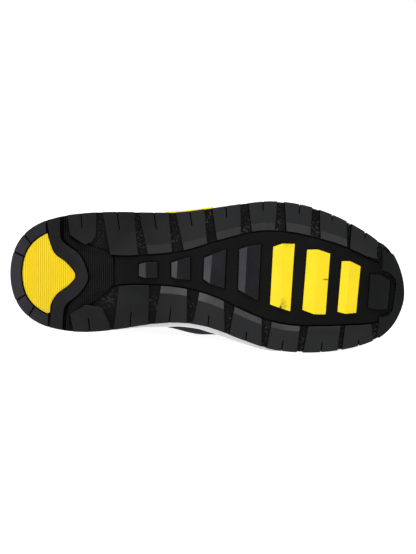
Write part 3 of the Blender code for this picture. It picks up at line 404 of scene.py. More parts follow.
def wovenFinish(name, slot, colour, pitch, roughness=0.8):
    # plain weave: two sets of threads that pass over and under each other
    finish = Finish(name, slot, roughness, Specular_IOR_Level=0.3, Sheen_Weight=0.2)
    u, v, _ = finish.lie()
    turn, cloud = 2 * math.pi / pitch, finish.noise(80.0)
    over = ((u * turn).sine() * (v * turn).sine()).between(-0.6, 0.6)
    warp, weft = (u * (turn * 2)).sine().size(), (v * (turn * 2)).sine().size()
    thread = warp * over + weft * (1 - over)
    # painted shade: the colour is darker between the threads
    finish.look(finish.mix(thread * 0.6, times(colour, 0.45), finish.clouded(cloud, colour)),
                cloud * 0.1 + (roughness - 0.05), thread, 0.00018)


ribPitch = 1.45 * mm
rubberFinish("lug rubber", srgb(4, 5, 6), srgb(11, 12, 13), 0.40, 0.30, ahead=srgb(23, 24, 25))
rubberFinish("heel ring rubber", srgb(27, 26, 31), srgb(34, 33, 38), 0.44)
rubberFinish("heel brace rubber", srgb(18, 18, 19), srgb(27, 26, 29), 0.44, 0.15)
rubberFinish("bar rubber", srgb(14, 13, 17), srgb(19, 18, 22), 0.30, 0.32, 0.00003)
rubberFinish("recess rubber", srgb(7, 7, 7), srgb(14, 14, 13), 0.62, 0.10, 0.0004, 1.2,
             speckle=srgb(66, 66, 61))
rubberFinish("panel rubber", srgb(9, 9, 10), srgb(14, 14, 14), 0.58, 0.08, 0.00005)
rubberFinish("ribbed rubber", srgb(23, 23, 23), srgb(28, 28, 28), 0.58, 0.08, 0.00005, ribs=ribPitch)
rubberFinish("toe rubber", srgb(17, 18, 18), srgb(22, 23, 23), 0.5, 0.1)
# near-black painted shadow for the tread's gaps
rubberFinish("painted shadow rubber", srgb(5, 5, 5), srgb(9, 9, 9), 0.9, 0.05)
# near-black painted shade for the eyelets' holes
rubberFinish("eyelet hole shade", srgb(6, 6, 6), srgb(8, 8, 8), 0.9, 0.1, slot="black_film")
yellowFinish("yellow pad rubber", srgb(231, 201, 9), (), ribPitch)
# a paler, more lemon yellow than the pad's, made lighter still as painted light on the clip's shaded
# underside
yellowFinish("yellow clip with painted light", srgb(243, 222, 26))
foamFinish("white foam", srgb(208, 208, 209), srgb(184, 184, 185))
meshFinish("black mesh", srgb(37, 37, 40), 2.4 * mm, srgb(8, 8, 9))
meshFinish("tongue mesh", srgb(38, 38, 40), 1.9 * mm, srgb(12, 12, 13))
wovenFinish("black lining", "black_lining", srgb(46, 46, 48), 0.9 * mm, 0.95)
wovenFinish("insole cloth", "black_lining", srgb(60, 60, 62), 1.1 * mm, 0.95)
wovenFinish("black lace", "black_lace", srgb(30, 30, 32), 0.8 * mm)
wovenFinish("black thread", "black_lace", srgb(52, 52, 55), 0.3 * mm, 0.7)
suedeFinish("black suede", srgb(36, 36, 39))
filmFinish("black film", srgb(26, 26, 28), 0.38)
filmFinish("black eyelet", srgb(30, 30, 32), 0.3)
print("finishes made:", len(finishes))


# Mesh building

def gridFaces(rows, columns, wrapped=False):
    faces = []
    for r in range(0, (rows - 1) * columns, columns):
        for c in range(columns if wrapped else columns - 1):
            d = (c + 1) % columns
            faces.append((r + c, r + d, r + columns + d, r + columns + c))
    return faces


def tube(rings):
    # closed tube over rings with the same number of points
    rows, columns = rings.shape[:2]
    last = (rows - 1) * columns
    ends = [tuple(range(columns))[::-1], tuple(range(last, last + columns))]
    return rings.reshape(-1, 3), gridFaces(rows, columns, True) + ends


def joined(parts):
    # each part is its points and faces, and sometimes how its cloth lies
    points, faces, *lies = zip(*parts)
    starts = np.cumsum([0] + [len(some) for some in points])
    moved = [tuple(i + start for i in face) for some, start in zip(faces, starts) for face in some]
    return (np.concatenate(points), moved, *map(np.concatenate, lies))


def placed(name, data):
    thing = bpy.data.objects.new(name, data)
    bpy.context.scene.collection.objects.link(thing)
    return thing


def makePiece(name, made, finish, nodes=(), bevel=0.0, segments=2, crisp=None):
    points, faces, *lie = made
    mesh = bpy.data.meshes.new(name)
    mesh.from_pydata([tuple(p) for p in points], [], [tuple(f) for f in faces])
    mesh.validate()
    mesh.polygons.foreach_set("use_smooth", [True] * len(mesh.polygons))
    mesh.materials.append(finishes[finish].material)
    cloth = mesh.attributes.new("clothPlace", "FLOAT_VECTOR", "POINT")
    cloth.data.foreach_set("vector", np.ravel(lie[0] if lie else points))
    piece = placed(name, mesh)
    mesh.transform(rest)
    # soft walls lie flat on the floor
    corners = np.empty(3 * len(mesh.vertices))
    mesh.vertices.foreach_get("co", corners)
    corners[2::3] = np.maximum(corners[2::3], 0.02 * mm)
    mesh.vertices.foreach_set("co", corners)
    if crisp:
        mesh.set_sharp_from_angle(angle=math.radians(crisp))
    if bevel:
        edges = piece.modifiers.new("edges", "BEVEL")
        edges.width, edges.segments, edges.limit_method = bevel, segments, "ANGLE"
        edges.angle_limit, edges.harden_normals = math.radians(32), True
    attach(piece, "root")
    if nodes:
        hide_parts(*nodes)
    return piece


def border(faces):
    # edges that only one face has
    directed = {(a, b) for f in faces for a, b in zip(f, (*f[1:], f[0]))}
    return [(a, b) for a, b in directed if (b, a) not in directed]


def facingOut(points, faces):
    # turns the faces of closed blocks so that their volume is positive
    a, b, c = points[np.array([f[:3] for f in faces])].transpose(1, 0, 2)
    return faces if np.sum(a * np.cross(b, c)) > 0 else [f[::-1] for f in faces]


def block(tops, bases, skip=None):
    # closed block between two grids, without the cells that skip marks
    cells = gridFaces(*tops.shape[:2])
    if skip is not None:
        cells = [cell for cell, gone in zip(cells, np.ravel(skip)) if not gone]
    count = tops.size // 3
    faces = cells + [tuple(i + count for i in f[::-1]) for f in cells]
    faces += [(b, a, a + count, b + count) for a, b in border(cells)]
    used, renamed = np.unique(faces, return_inverse=True)
    points = np.concatenate([tops.reshape(-1, 3), bases.reshape(-1, 3)])[used]
    return points, facingOut(points, renamed.reshape(-1, 4).tolist())


# Tread

# the slit and frame sizes and the lifts place near-black strips of painted shadow in the tread's gaps
tread = {
    "rootDepth": 0.0052, "panelDepth": 0.0033, "barFacet": 0.0016, "barRound": 0.0002,
    "lugBevel": 0.0026, "lugDraft": 0.012, "sipeWidth": 0.0009, "shadowSlit": 0.0007, "frame": 0.0009,
    "ringWidth": 0.0084, "ringCut": 0.006, "groove": 0.0011, "shadowLift": 0.00012,
    "ribHeight": 0.0006, "padDepth": 0.0005, "yellowRoot": 0.0037, "edgeRound": 0.0004,
    "ringEnd": (0.0898, 0.0956), "ringInnerEnd": (0.0795, 0.0859), "padEnd": (0.082, 0.082),
    "braceArm": 0.15, "armGroove": 0.0015, "armRib": (0.0029, 0.0038), "armRibDepth": 0.0024,
    "panelGap": 0.0011, "toeBarDepth": 0.0010, "toeBandEnds": (0.948, 0.934), "toeCorner": 0.0016,
    "shadowSlitLift": 0.00008, "frameLift": 0.00006, "panelRound": 0.00025, "ribPower": 0.7,
}
valleyRows = table(
    "along lateral medial", (0.150, 0.240, 0.790), (0.255, 0.360, 0.641), (0.350, 0.372, 0.651),
    (0.445, 0.342, 0.692), (0.530, 0.264, 0.744), (0.611, 0.207, 0.795), (0.690, 0.195, 0.820),
    (0.780, 0.200, 0.820), (0.855, 0.201, 0.818), (0.918, 0.214, 0.835),
)
# how far in a lug reaches from its heel side to its toe side: square, or with corners cut
square = ((0.0, 1.0), (1.0, 1.0))
lateralHeel = ((0.0, 0.75), (0.2, 0.91), (0.58, 1.0), (0.88, 0.84), (1.0, 0.62))
medialHeel = ((0.0, 0.82), (0.39, 0.955), (0.745, 0.71), (0.80, 0.665), (1.0, 0.13))
lateralToe = ((0.0, 1.0), (0.6, 1.0), (1.0, 0.88))
lugColumns = "edgeFrom edgeTo valleyFrom valleyTo reach bevel drop sipeAt sipeReach inner"
lugs = {lateral: table(
    lugColumns,
    (0.146, 0.219, 0.156, 0.216, 0.90, 0.16, 0.05, 0.47, 0.50, lateralHeel),
    (0.235, 0.313, 0.254, 0.324, 1.00, 0.12, 0.15, 0.46, 0.42, square),
    (0.327, 0.401, 0.349, 0.410, 1.00, 0.22, 0.70, 0.50, 0.41, square),
    (0.420, 0.491, 0.440, 0.499, 1.00, 0.20, 1.00, 0.49, 0.40, square),
    (0.512, 0.583, 0.524, 0.584, 1.00, 0.25, 1.00, 0.48, 0.38, square),
    (0.604, 0.676, 0.612, 0.670, 1.00, 0.26, 1.00, 0.50, 0.33, square),
    (0.695, 0.765, 0.700, 0.760, 1.00, 0.30, 1.00, 0.54, 0.33, square),
    (0.784, 0.852, 0.786, 0.854, 1.00, 0.28, 0.90, 0.47, 0.22, square),
    (0.866, 0.931, 0.861, 0.929, 1.00, 0.20, 0.10, 0.52, 0.28, lateralToe),
), medial: table(
    lugColumns,
    (0.161, 0.254, 0.148, 0.252, 0.86, 0.14, 0.05, 0.44, 0.52, medialHeel),
    (0.263, 0.349, 0.276, 0.352, 1.00, 0.24, 0.15, 0.47, 0.37, square),
    (0.366, 0.447, 0.382, 0.448, 1.00, 0.20, 0.80, 0.46, 0.40, square),
    (0.463, 0.543, 0.479, 0.541, 1.00, 0.26, 1.15, 0.47, 0.36, square),
    (0.555, 0.636, 0.568, 0.637, 1.00, 0.22, 0.75, 0.51, 0.33, square),
    (0.650, 0.725, 0.662, 0.734, 1.00, 0.20, 0.55, 0.49, 0.40, square),
    (0.742, 0.829, 0.755, 0.836, 1.00, 0.16, 0.25, 0.51, 0.36, square),
    (0.841, 0.919, 0.849, 0.915, 1.00, 0.12, 0.10, 0.53, 0.30, square),
)}
# corners of each bar, as along and across shares: three on its lateral end, three on its
# medial end, each from its heel side over its ridge to its toe side
blackBars = (
    ((0.326, 0.456), (0.343, 0.444), (0.373, 0.448), (0.326, 0.563), (0.343, 0.584), (0.373, 0.585)),
    ((0.408, 0.453), (0.424, 0.437), (0.456, 0.408), (0.408, 0.584), (0.421, 0.603), (0.456, 0.612)),
    ((0.491, 0.415), (0.512, 0.385), (0.547, 0.343), (0.489, 0.600), (0.505, 0.630), (0.542, 0.650)),
    ((0.580, 0.334), (0.600, 0.313), (0.635, 0.296), (0.577, 0.638), (0.594, 0.654), (0.628, 0.688)),
)
yellowBars = (
    ((0.666, 0.307), (0.689, 0.281), (0.7205, 0.273), (0.658, 0.698), (0.685, 0.714), (0.709, 0.727)),
    ((0.752, 0.299), (0.779, 0.282), (0.8105, 0.290), (0.740, 0.710), (0.768, 0.734), (0.7985, 0.733)),
    ((0.840, 0.324), (0.861, 0.305), (0.888, 0.320), (0.829, 0.710), (0.849, 0.725), (0.8765, 0.718)),
)
toeBar = ((0.913, 0.365), (0.936, 0.337), (0.964, 0.369), (0.907, 0.676), (0.932, 0.703), (0.957, 0.725))
padFront = table(
    "along across", (0.097, -0.300), (0.112, -0.172), (0.142, -0.092), (0.165, 0.012),
    (0.151, 0.090), (0.120, 0.169), (0.104, 0.250), (0.101, 0.325),
)
braceFront = table(
    "along across", (0.127, -0.477), (0.127, -0.330), (0.1365, -0.256), (0.177, -0.152),
    (0.1966, 0.005), (0.1915, 0.093), (0.172, 0.178), (0.1425, 0.258), (0.1345, 0.340),
    (0.1325, 0.476),
)
# front edge of the ribbed floor ahead of the brace
ribbedFront = table(
    "along across", (0.143, -0.500), (0.143, -0.345), (0.156, -0.285), (0.205, -0.230),
    (0.256, -0.150), (0.259, 0.000), (0.256, 0.110), (0.205, 0.250), (0.160, 0.325),
    (0.150, 0.370), (0.154, 0.490),
)
toeBand = table(
    "along across", (0.944, 0.030), (0.944, 0.281), (0.966, 0.273), (0.979, 0.320), (0.979, 0.500),
    (0.970, 0.780), (0.962, 0.815), (0.936, 0.791), (0.930, 0.975),
)
# step in the valley's front end, behind the toe band
toeNotch = table("along low high", (0.9385, 0.315, 0.775), (0.968, 0.32, 0.77), (0.9735, 0.36, 0.74))
# sipes across the heel ring, as shares of its sweep from lateral to medial
ringSipes = (0.0, 0.186, 0.339, 0.688, 0.844, 1.0)
# middle, half sizes and depth of each scuff on the yellow bars, in millimetres but for the depth
scuffs = (
    ((207.5, 23.5, 3.4, 6.5, 0.50), (205.2, 25.8, 1.3, 1.6, 1.3), (211.0, -21.0, 5.0, 2.0, 0.22)),
    ((239.7, 4.6, 3.4, 0.9, 1.1),), (),
)


def soleBlock(x, y, depth, root=tread["rootDepth"], skip=None, draft=0.0):
    # block on the tread: plan grids, the depth of its face and of its root behind the tread
    baseX, baseY = x + (x - x.mean()) * draft, y + (y - y.mean()) * draft
    tops = np.stack([x, y, treadZ(x) + depth], -1)
    return block(tops, np.stack([baseX, baseY, treadZ(x) + root], -1), skip)


def bandBlock(left, right, steps, depth=0.0, shares=(0.0, 0.5, 1.0)):
    # block between two lines, whose depth may be a function of x
    (x0, y0), (x1, y1) = left(steps), right(steps)
    s = np.asarray(shares)[:, None]
    x = x0 + (x1 - x0) * s
    return soleBlock(x, y0 + (y1 - y0) * s, depth(x) if callable(depth) else depth)


def heelLine(rows, t, shift=0.0):
    along, across = evenly(rows, t)
    return along * length + shift, across * heel


def onSole(along, share):
    return along * length, acrossY(along, share)


def lugPlan(along, s, side):
    # s runs from the sole's edge to the valley
    outer = 0.0 if side == lateral else 1.0
    return onSole(along, outer + (curve(valleyRows, sideNames[side], along) - outer) * s)


def lugBlock(row, side):
    # rows run from the sole's edge inwards, columns from heel to toe
    slot = tread["sipeWidth"] / ((row["edgeTo"] - row["edgeFrom"]) * length) / 2
    knots, shares = zip(*row["inner"])
    at, cut, flat = row["sipeAt"], row["sipeReach"], 1 - row["bevel"]
    acrossSteps = np.array(sorted({*knots, 0.3, 0.75, at - slot, at + slot}))
    reachSteps = np.array(sorted({0.0, cut / 2, cut, flat, 1.0, (cut + flat) / 2}))
    t, s = np.meshgrid(acrossSteps, reachSteps)
    edge = row["edgeFrom"] + (row["edgeTo"] - row["edgeFrom"]) * t
    valley = row["valleyFrom"] + (row["valleyTo"] - row["valleyFrom"]) * t
    reach = s * row["reach"] * np.interp(t, knots, shares)
    plan = lugPlan(edge + (valley - edge) * reach, reach, side)
    depth = tread["lugBevel"] * row["drop"] * shareOf(s, flat, 1.0)
    middles = (acrossSteps[:-1] + acrossSteps[1:]) / 2
    skip = (reachSteps[:-1, None] < cut - 1e-6) & (abs(middles - at) < slot / 2)
    return soleBlock(*plan, depth, skip=skip, draft=tread["lugDraft"])


def shadowSlitBeside(row, side):
    # strip of painted shadow at a lug's heel-side foot
    t, s = np.meshgrid((-tread["shadowSlit"] / length, 0.0), np.linspace(0, 1, 9))
    along = row["edgeFrom"] + (row["valleyFrom"] - row["edgeFrom"]) * s + t
    return soleBlock(*lugPlan(along, s, side), sole["lugDepth"] - tread["shadowSlitLift"])


def barPlan(corners, by=0.0):
    # plan of a bar, made larger all round by a margin
    steps = np.array((0.0, 0.5, 1.0, 1.5, 2.0))
    ends = np.linspace(0, 1, 7)[:, None]
    first, last = [[np.interp(steps, (0, 1, 2), values) for values in zip(*some)]
                   for some in (corners[:3], corners[3:])]
    along, share = [a * (1 - ends) + b * ends for a, b in zip(first, last)]
    return onSole(along + by / length * (steps - 1), share + by / ball * (2 * ends - 1))


def barBlock(corners, root=tread["rootDepth"]):
    # two facets that meet in a ridge
    return soleBlock(*barPlan(corners), tread["barFacet"] * np.array((1.0, 0.5, 0.0, 0.5, 1.0)), root)


def heelArc(inset, end):
    start, stop = [float(angleAt(along, side)) for along, side in zip(tread[end], (lateral, medial))]
    return lambda t: outline(start + (stop - start) * t, inset)


def besideBrace(t):
    # the groove along the brace is wide beside its arms
    wide = tread["groove"] + tread["armGroove"] * ease(shareOf(np.abs(t - 0.5), 0.18, 0.30))
    return heelLine(braceFront, t, wide)


def braceBack(t):
    arm = tread["braceArm"]
    x, y = heelLine(padFront, np.clip((t - arm) / (1 - 2 * arm), 0, 1), tread["groove"])
    out = np.maximum(arm - np.minimum(t, 1 - t), 0) / arm
    tips = [along + tread["groove"] / length for along in tread["ringEnd"]]
    edge = np.where(t < 0.5, edgeY(tips[0], lateral), edgeY(tips[1], medial))
    return x + (np.where(t < 0.5, *tips) * length - x) * out, y + (edge - y) * out


toeBandEnds = [float(angleAt(along, side)) for along, side in zip(tread["toeBandEnds"], sideNames)]
toeBandEnds[0] += 2 * math.pi


def toeCorner(angle):
    # the tread stands out at the toe's lateral corner
    past = np.asarray(angle) % (2 * math.pi) - toeBandEnds[0]
    return tread["toeCorner"] * np.exp(-(past / np.where(past > 0, 0.06, 0.19)) ** 2)


def toeBandFront(t):
    angle = toeBandEnds[0] * (1 - t) + toeBandEnds[1] * t
    return outline(angle, -toeCorner(angle))


def rib(x):
    # rounded ribs across the sole, from 0 between them to 1 on top
    return np.abs(np.sin(math.pi * x / ribPitch)) ** tread["ribPower"]


def soleGrid(insetOf, steps):
    # plan of the whole sole: rows from its lateral to its medial edge
    angles = np.linspace(-math.pi, math.pi, 241)[:-1]
    half = len(angles) // 2
    first, second = np.arange(half, -1, -1), np.arange(half, 2 * half + 1) % len(angles)
    s = np.linspace(0, 1, steps)[:, None]
    return [(line[first] * (1 - s) + line[second] * s)[:, 1:-1]
            for line in outline(angles, insetOf(angles))]


def treadPiece(name, finish, parts, *edges, **settings):
    makePiece(name, joined(parts), finish, ["outsole"], *edges, **settings)


def makeHeelTread():
    ring, inner = heelArc(0.0, "ringEnd"), heelArc(tread["ringWidth"], "ringInnerEnd")
    parts, cut = [], tread["ringCut"]
    for low, high in zip(ringSipes, ringSipes[1:]):
        steps = np.linspace(low + cut * (low > 0), high - cut * (high < 1), 30)
        parts.append(bandBlock(ring, inner, steps))
    treadPiece("heel_ring", "heel ring rubber", parts, tread["edgeRound"])
    brace = bandBlock(braceBack, lambda t: heelLine(braceFront, t), np.linspace(0, 1, 61))
    treadPiece("heel_brace", "heel brace rubber", [brace], tread["edgeRound"])

    def floorFront(t):
        x, y = heelLine(ribbedFront, t)
        return np.maximum(x, besideBrace(t)[0] + 1.2 * mm), y

    ribbed = bandBlock(besideBrace, floorFront, np.linspace(0.012, 0.988, 90),
                       lambda x: tread["panelDepth"] - tread["ribHeight"] * rib(x),
                       np.linspace(0, 1, 110))
    treadPiece("heel_ribs", "ribbed rubber", [ribbed])
    # thin rib that follows both arms of the brace
    near, far = tread["armRib"]
    parts = [bandBlock(lambda t: heelLine(braceFront, t, near), lambda t: heelLine(braceFront, t, far),
                       np.linspace(*ends, 15), tread["armRibDepth"]) for ends in ((0, 0.29), (0.72, 1))]
    treadPiece("brace_ribs", "panel rubber", parts, 0.2 * mm)


def makeHeelPad():
    # stations across the pad that follow the ribs, between its back arc and its front edge
    t = np.linspace(0, 1, 400)
    back = np.array(heelArc(tread["ringWidth"] + tread["groove"], "padEnd")(t))
    front = np.array(heelLine(padFront, t))
    xs = np.arange(back[0].min() + 0.05 * mm, front[0].max() - 0.1 * mm, ribPitch / 8)
    loop = np.concatenate([back, front[:, ::-1]], 1)
    spans = []
    for x in xs:
        cut = (loop[0] - x) * (np.roll(loop[0], -1) - x) < 0
        (p, a), (q, b) = loop[:, cut], np.roll(loop, -1, 1)[:, cut]
        hits = a + (b - a) * (x - p) / (q - p)
        spans.append((hits.min(), hits.max()))
    low, high = np.array(spans).T
    shares = np.concatenate([[0, 0.004], np.linspace(0.02, 0.98, 25), [0.996, 1]])[:, None]
    x = np.tile(xs, (len(shares), 1))
    ridges = rib(x) * ease(np.minimum(shares, 1 - shares) * (high - low) / (0.8 * mm))
    pad = soleBlock(x, low + (high - low) * shares, tread["padDepth"] + tread["ribHeight"] * (1 - ridges),
                    tread["yellowRoot"])
    makePiece("heel_pad_ribbed", pad, "yellow pad rubber", ["heel_pad"])


def makeLugs():
    parts = [lugBlock(row, side) for side, rows in lugs.items() for row in rows]
    treadPiece("side_lugs", "lug rubber", parts, tread["edgeRound"], crisp=12)


def makeBars():
    parts = [barBlock(row) for row in blackBars]
    treadPiece("waist_bars", "bar rubber", parts, tread["barRound"], crisp=8)
    for k, (row, marks) in enumerate(zip(yellowBars, scuffs), 1):
        yellowFinish(f"yellow bar {k}", srgb(233, 206, 24),
                     [(*(size * mm for size in sizes), depth) for *sizes, depth in marks])
        makePiece(f"forefoot_bar_{k}_moulded", barBlock(row, tread["yellowRoot"]), f"yellow bar {k}",
                  [f"forefoot_bar_{k}"], 0.15 * mm, crisp=8)


def makeTreadShadows():
    # near-black strips of painted shadow in the tread's gaps: frames round the bars, strips at the lugs'
    # feet and along the valley's edges, beside the brace and round the ribbed floor
    dark, line = sole["lugDepth"] - tread["shadowLift"], (0.0, 1.0)
    parts = [soleBlock(*barPlan(corners, tread["frame"]), tread["panelDepth"] - tread["frameLift"])
             for corners in (*blackBars, toeBar)]
    parts += [shadowSlitBeside(row, side) for side, rows in lugs.items() for row in rows[4:]]
    for side in lugs:
        def edge(along, by=0.0):
            x, y = lugPlan(along, 1.0, side)
            return x, y - side * by
        parts.append(bandBlock(edge, lambda along: edge(along, tread["panelGap"] + 0.4 * mm),
                               np.linspace(0.26, 0.935, 110), dark, line))
    # beside the brace, and round the ribbed floor
    for rows, ends, depth in ((braceFront, (0.0, 1.0), dark),
                              (ribbedFront, (0.17, 0.86), tread["panelDepth"] - 0.7 * mm)):
        parts.append(bandBlock(lambda t: heelLine(rows, t),
                               lambda t: heelLine(rows, t, besideBrace(t)[0] - heelLine(braceFront, t)[0]),
                               np.linspace(*ends, 81), depth, line))
    treadPiece("tread_painted_shadows", "painted shadow rubber", parts)


def makeSoleFloor():
    # recessed plate under everything, the valley's own panel, and the toe
    depth, gap, panel = sole["lugDepth"], tread["panelGap"], tread["panelDepth"]
    grid = soleGrid(lambda angles: 0.1 * mm - toeCorner(angles)
                    + 0.6 * mm * ease(shareOf(alongAt(angles), 0.60, 0.72)), 25)
    plate = soleBlock(*grid, depth, depth + sole["plateThickness"])
    treadPiece("sole_plate", "recess rubber", [plate], tread["panelRound"])

    def valleyEdge(side):
        def place(along):
            share = curve(valleyRows, sideNames[side], np.minimum(along, 0.93))
            return along * length, acrossY(along, share) - side * gap
        return place

    along = np.array([*np.linspace(0.2645, 0.93, 120), 0.937])
    notchAlong = np.array([row["along"] for row in toeNotch])
    low, high = [lambda t, name=name: onSole(t, curve(toeNotch, name, t, line=straightLine))
                 for name in ("low", "high")]
    parts = [bandBlock(valleyEdge(lateral), valleyEdge(medial), along, panel, np.linspace(0, 1, 21)),
             bandBlock(low, high, notchAlong, panel, np.linspace(0, 1, 9))]
    treadPiece("valley_floor", "panel rubber", parts, tread["panelRound"])

    parts = [soleBlock(*barPlan(toeBar), tread["toeBarDepth"]),
             bandBlock(lambda t: onSole(*evenly(toeBand, t, straightLine)), toeBandFront,
                       np.linspace(0, 1, 97), shares=np.linspace(0, 1, 7))]
    treadPiece("toe_tread", "toe rubber", parts, tread["edgeRound"])


makeHeelTread()
makeHeelPad()
makeLugs()
makeBars()
makeTreadShadows()
makeSoleFloor()
print("tread made")


# Midsole

foam = {"rings": 400, "profileSteps": 60, "fineLine": 0.00035, "fineLines": (0.15, 0.20, 0.47)}
sideProfile = table(
    "height out", (0.00, -0.4), (0.04, 0.1), (0.10, 0.3), (0.30, 0.2), (0.335, -0.8), (0.365, -0.8),
    (0.40, 0.1), (0.56, -0.3), (0.595, -1.2), (0.625, -1.2), (0.66, -0.6), (0.90, -1.4),
    (0.97, -1.9), (1.00, -2.5),
)
archClip = table("along lower upper", (0.395, 0.22, 0.56), (0.455, 0.16, 0.62), (0.515, 0.22, 0.56))
# the side is thinner at the medial arch, where the upper shows beyond it
archTrim = table(
    "along depth", (0.395, 0.0), (0.430, 1.0 * mm), (0.480, 1.4 * mm), (0.507, 0.8 * mm),
    (0.583, 0.6 * mm), (0.640, 0.0),
)


def makeMidsole():
    count = foam["rings"]
    angles = np.linspace(-math.pi, math.pi, count + 1)[:-1]
    closeBy = np.add.outer(foam["fineLines"], (-0.02, -0.012, -0.006, 0, 0.006, 0.012, 0.02))
    shares = np.sort([*np.linspace(0, 1, foam["profileSteps"]), *closeBy.flat])
    outs = curve(sideProfile, "out", shares, "height", straightLine) * sole["sideGroove"]
    outs -= foam["fineLine"] * sum(np.exp(-((shares - at) / 0.007) ** 2) for at in foam["fineLines"])
    trim = curve(archTrim, "depth", alongAt(angles), line=straightLine) * (angles > 0)

    def ring(inset, low, high, share):
        x, y = outline(angles, inset)
        return np.stack([x, y, low(x) * (1 - share) + high(x) * share], -1)

    rings = [ring(trim - overhang(angles) - out, midsoleFloor, rimZ, share)
             for share, out in zip(shares, outs)]
    inner, top = midsoleInset(angles), rings[-1]
    for turn in np.linspace(0, 1, 5)[1:]:
        lift = (0, 0, 0.6 * mm * math.sin(math.pi * turn))
        rings.append(top + (ring(inner, rimZ, rimZ, 0) - top) * turn + lift)
    rings += [ring(inner, rimZ, footbedZ, share) for share in (0.5, 1)]
    points, half = np.concatenate(rings), count // 2
    faces = gridFaces(len(rings), count, True)
    for start, order in ((0, 1), ((len(rings) - 1) * count, -1)):
        for i in range(half):
            corners = (half - i, half - i - 1, (half + i + 1) % count, (half + i) % count)
            faces.append(tuple(dict.fromkeys(start + k for k in corners))[::order])
    makePiece("midsole_foam", (points, facingOut(points, faces)), "white foam", ["midsole"])


def makeArchClip():
    along = np.linspace(archClip[0]["along"], archClip[-1]["along"], 25)
    angles = angleAt(along, lateral)
    edgeX = outline(angles)[0]
    floor, rim = midsoleFloor(edgeX), rimZ(edgeX)
    lower, upper = [curve(archClip, name, along, line=straightLine) for name in ("lower", "upper")]
    outer, inner = [np.array([np.stack([*outline(angles, inset), floor + (rim - floor)
                                        * (lower + (upper - lower) * k)], -1)
                              for k in np.linspace(0, 1, 7)])
                    for inset in (-sole["clipProud"], sole["clipDepth"])]
    makePiece("arch_clip_moulded", block(outer, inner), "yellow clip with painted light", ["arch_clip"], 0.5 * mm)


makeMidsole()
makeArchClip()
print("midsole made")


# Upper, as in the part's source but finer

upper = {
    "wall": 0.0024, "collarPadding": 0.0065, "toeBox": 0.0670, "instep": 0.1090,
    "collarBack": 0.1010, "collarAnkle": 0.0840, "swell": {medial: 0.0105, lateral: 0.0040},
    "throatFront": 0.1880, "throatLength": 0.0620, "throatTop": 0.0460,
    "throatFrontWidth": 0.0260, "overlay": 0.0012, "collarBlend": 0.12, "throatReach": 1.6,
    "rows": 56, "columns": 150, "edgeRows": 160,
}
wall, overlay, throatFront = upper["wall"], upper["overlay"], upper["throatFront"]
instep, toeBox, back, ankle = (upper[k] for k in ("instep", "toeBox", "collarBack", "collarAnkle"))
sections = table(
    "along  height      across full  rise  lateral medial",
    (0.160, 1.600 * instep, 0.505, 1.10, 1.00, -0.55, -0.30),
    (0.233, 1.440 * instep, 0.510, 1.05, 0.98, -0.10, -0.12),
    (0.317, 1.270 * instep, 0.520, 0.92, 0.94, 0.60, 0.25),
    (0.400, 1.115 * instep, 0.530, 0.82, 0.88, 1.00, 0.70),
    (0.480, 1.000 * instep, 0.540, 0.78, 0.86, 1.00, 0.92),
    (0.567, 0.885 * instep, 0.545, 0.76, 0.84, 0.90, 0.28),
    (0.633, 0.800 * instep, 0.545, 0.74, 0.82, 0.70, 0.12),
    (0.700, 1.150 * toeBox, 0.540, 0.72, 0.78, 0.50, 0.08),
    (0.770, 1.055 * toeBox, 0.530, 0.68, 0.72, 0.30, 0.08),
    (0.840, 1.000 * toeBox, 0.520, 0.64, 0.66, 0.20, 0.08),
)
collarRows = table(
    "along height", (0.000, 1.010 * back), (0.070, 0.995 * back), (0.135, 0.950 * back),
    (0.200, 1.055 * ankle), (0.260, 1.000 * ankle), (0.320, 1.025 * ankle), (0.370, 1.130 * ankle),
    (0.410, 1.290 * ankle), (0.450, 1.560 * ankle),
)
toeCapEdge = table("along height", (0.770, 0.20), (0.786, 0.50), (0.826, 0.85), (0.842, 1.25))
counterEdge = table(
    "along height", (-0.020, 0.80), (0.090, 0.76), (0.165, 0.66), (0.235, 0.56), (0.260, 0.505),
    (0.276, 0.45), (0.287, 0.37), (0.294, 0.26), (0.300, 0.05),
)
eyestayEdge = table(
    "along height", (0.374, 1.200), (0.379, 1.000), (0.388, 0.900), (0.402, 0.835), (0.425, 0.790),
    (0.460, 0.755), (0.530, 0.700), (0.610, 0.620), (0.645, 0.603), (0.662, 0.612), (0.674, 0.640),
    (0.682, 0.685), (0.687, 0.735), (0.690, 0.790),
)
# soft creases in side view: middle, slope and half length of each, its width and depth
creases = table(
    "side     along  height slope half   width  depth",
    (medial,  0.700, 0.049, 1.25, 0.016, 0.0032, 0.00055),
    (medial,  0.670, 0.052, 1.15, 0.014, 0.0030, 0.00040),
    (lateral, 0.695, 0.050, 1.30, 0.017, 0.0034, 0.00060),
    (lateral, 0.728, 0.046, 1.40, 0.014, 0.0030, 0.00040),
    (lateral, 0.660, 0.053, 1.10, 0.014, 0.0030, 0.00035),
    (medial,  0.330, 0.066, 2.50, 0.017, 0.0040, 0.00075),
    (medial,  0.380, 0.060, 2.70, 0.014, 0.0034, 0.00050),
    (lateral, 0.335, 0.064, 2.45, 0.018, 0.0042, 0.00080),
    (lateral, 0.290, 0.072, 2.80, 0.013, 0.0034, 0.00045),
    (lateral, 0.500, 0.050, 0.35, 0.020, 0.0050, 0.00040),
)


def collarZ(along):
    return curve(collarRows, "height", along)


def softClip(along, low, high, blend=0.02):
    # stops at both ends without a kink
    if along > high - blend:
        return high - max(high + blend - along, 0) ** 2 / (4 * blend)
    if along < low + blend:
        return low + max(along - low + blend, 0) ** 2 / (4 * blend)
    return along


def throatGap(x):
    behind = throatFront - x
    if behind <= 0:
        return 0.0
    radius = upper["throatFrontWidth"] / 2
    gap = radius + (upper["throatTop"] / 2 - radius) * behind / upper["throatLength"]
    return gap * math.sqrt(1 - max(1 - behind / radius, 0) ** 2)


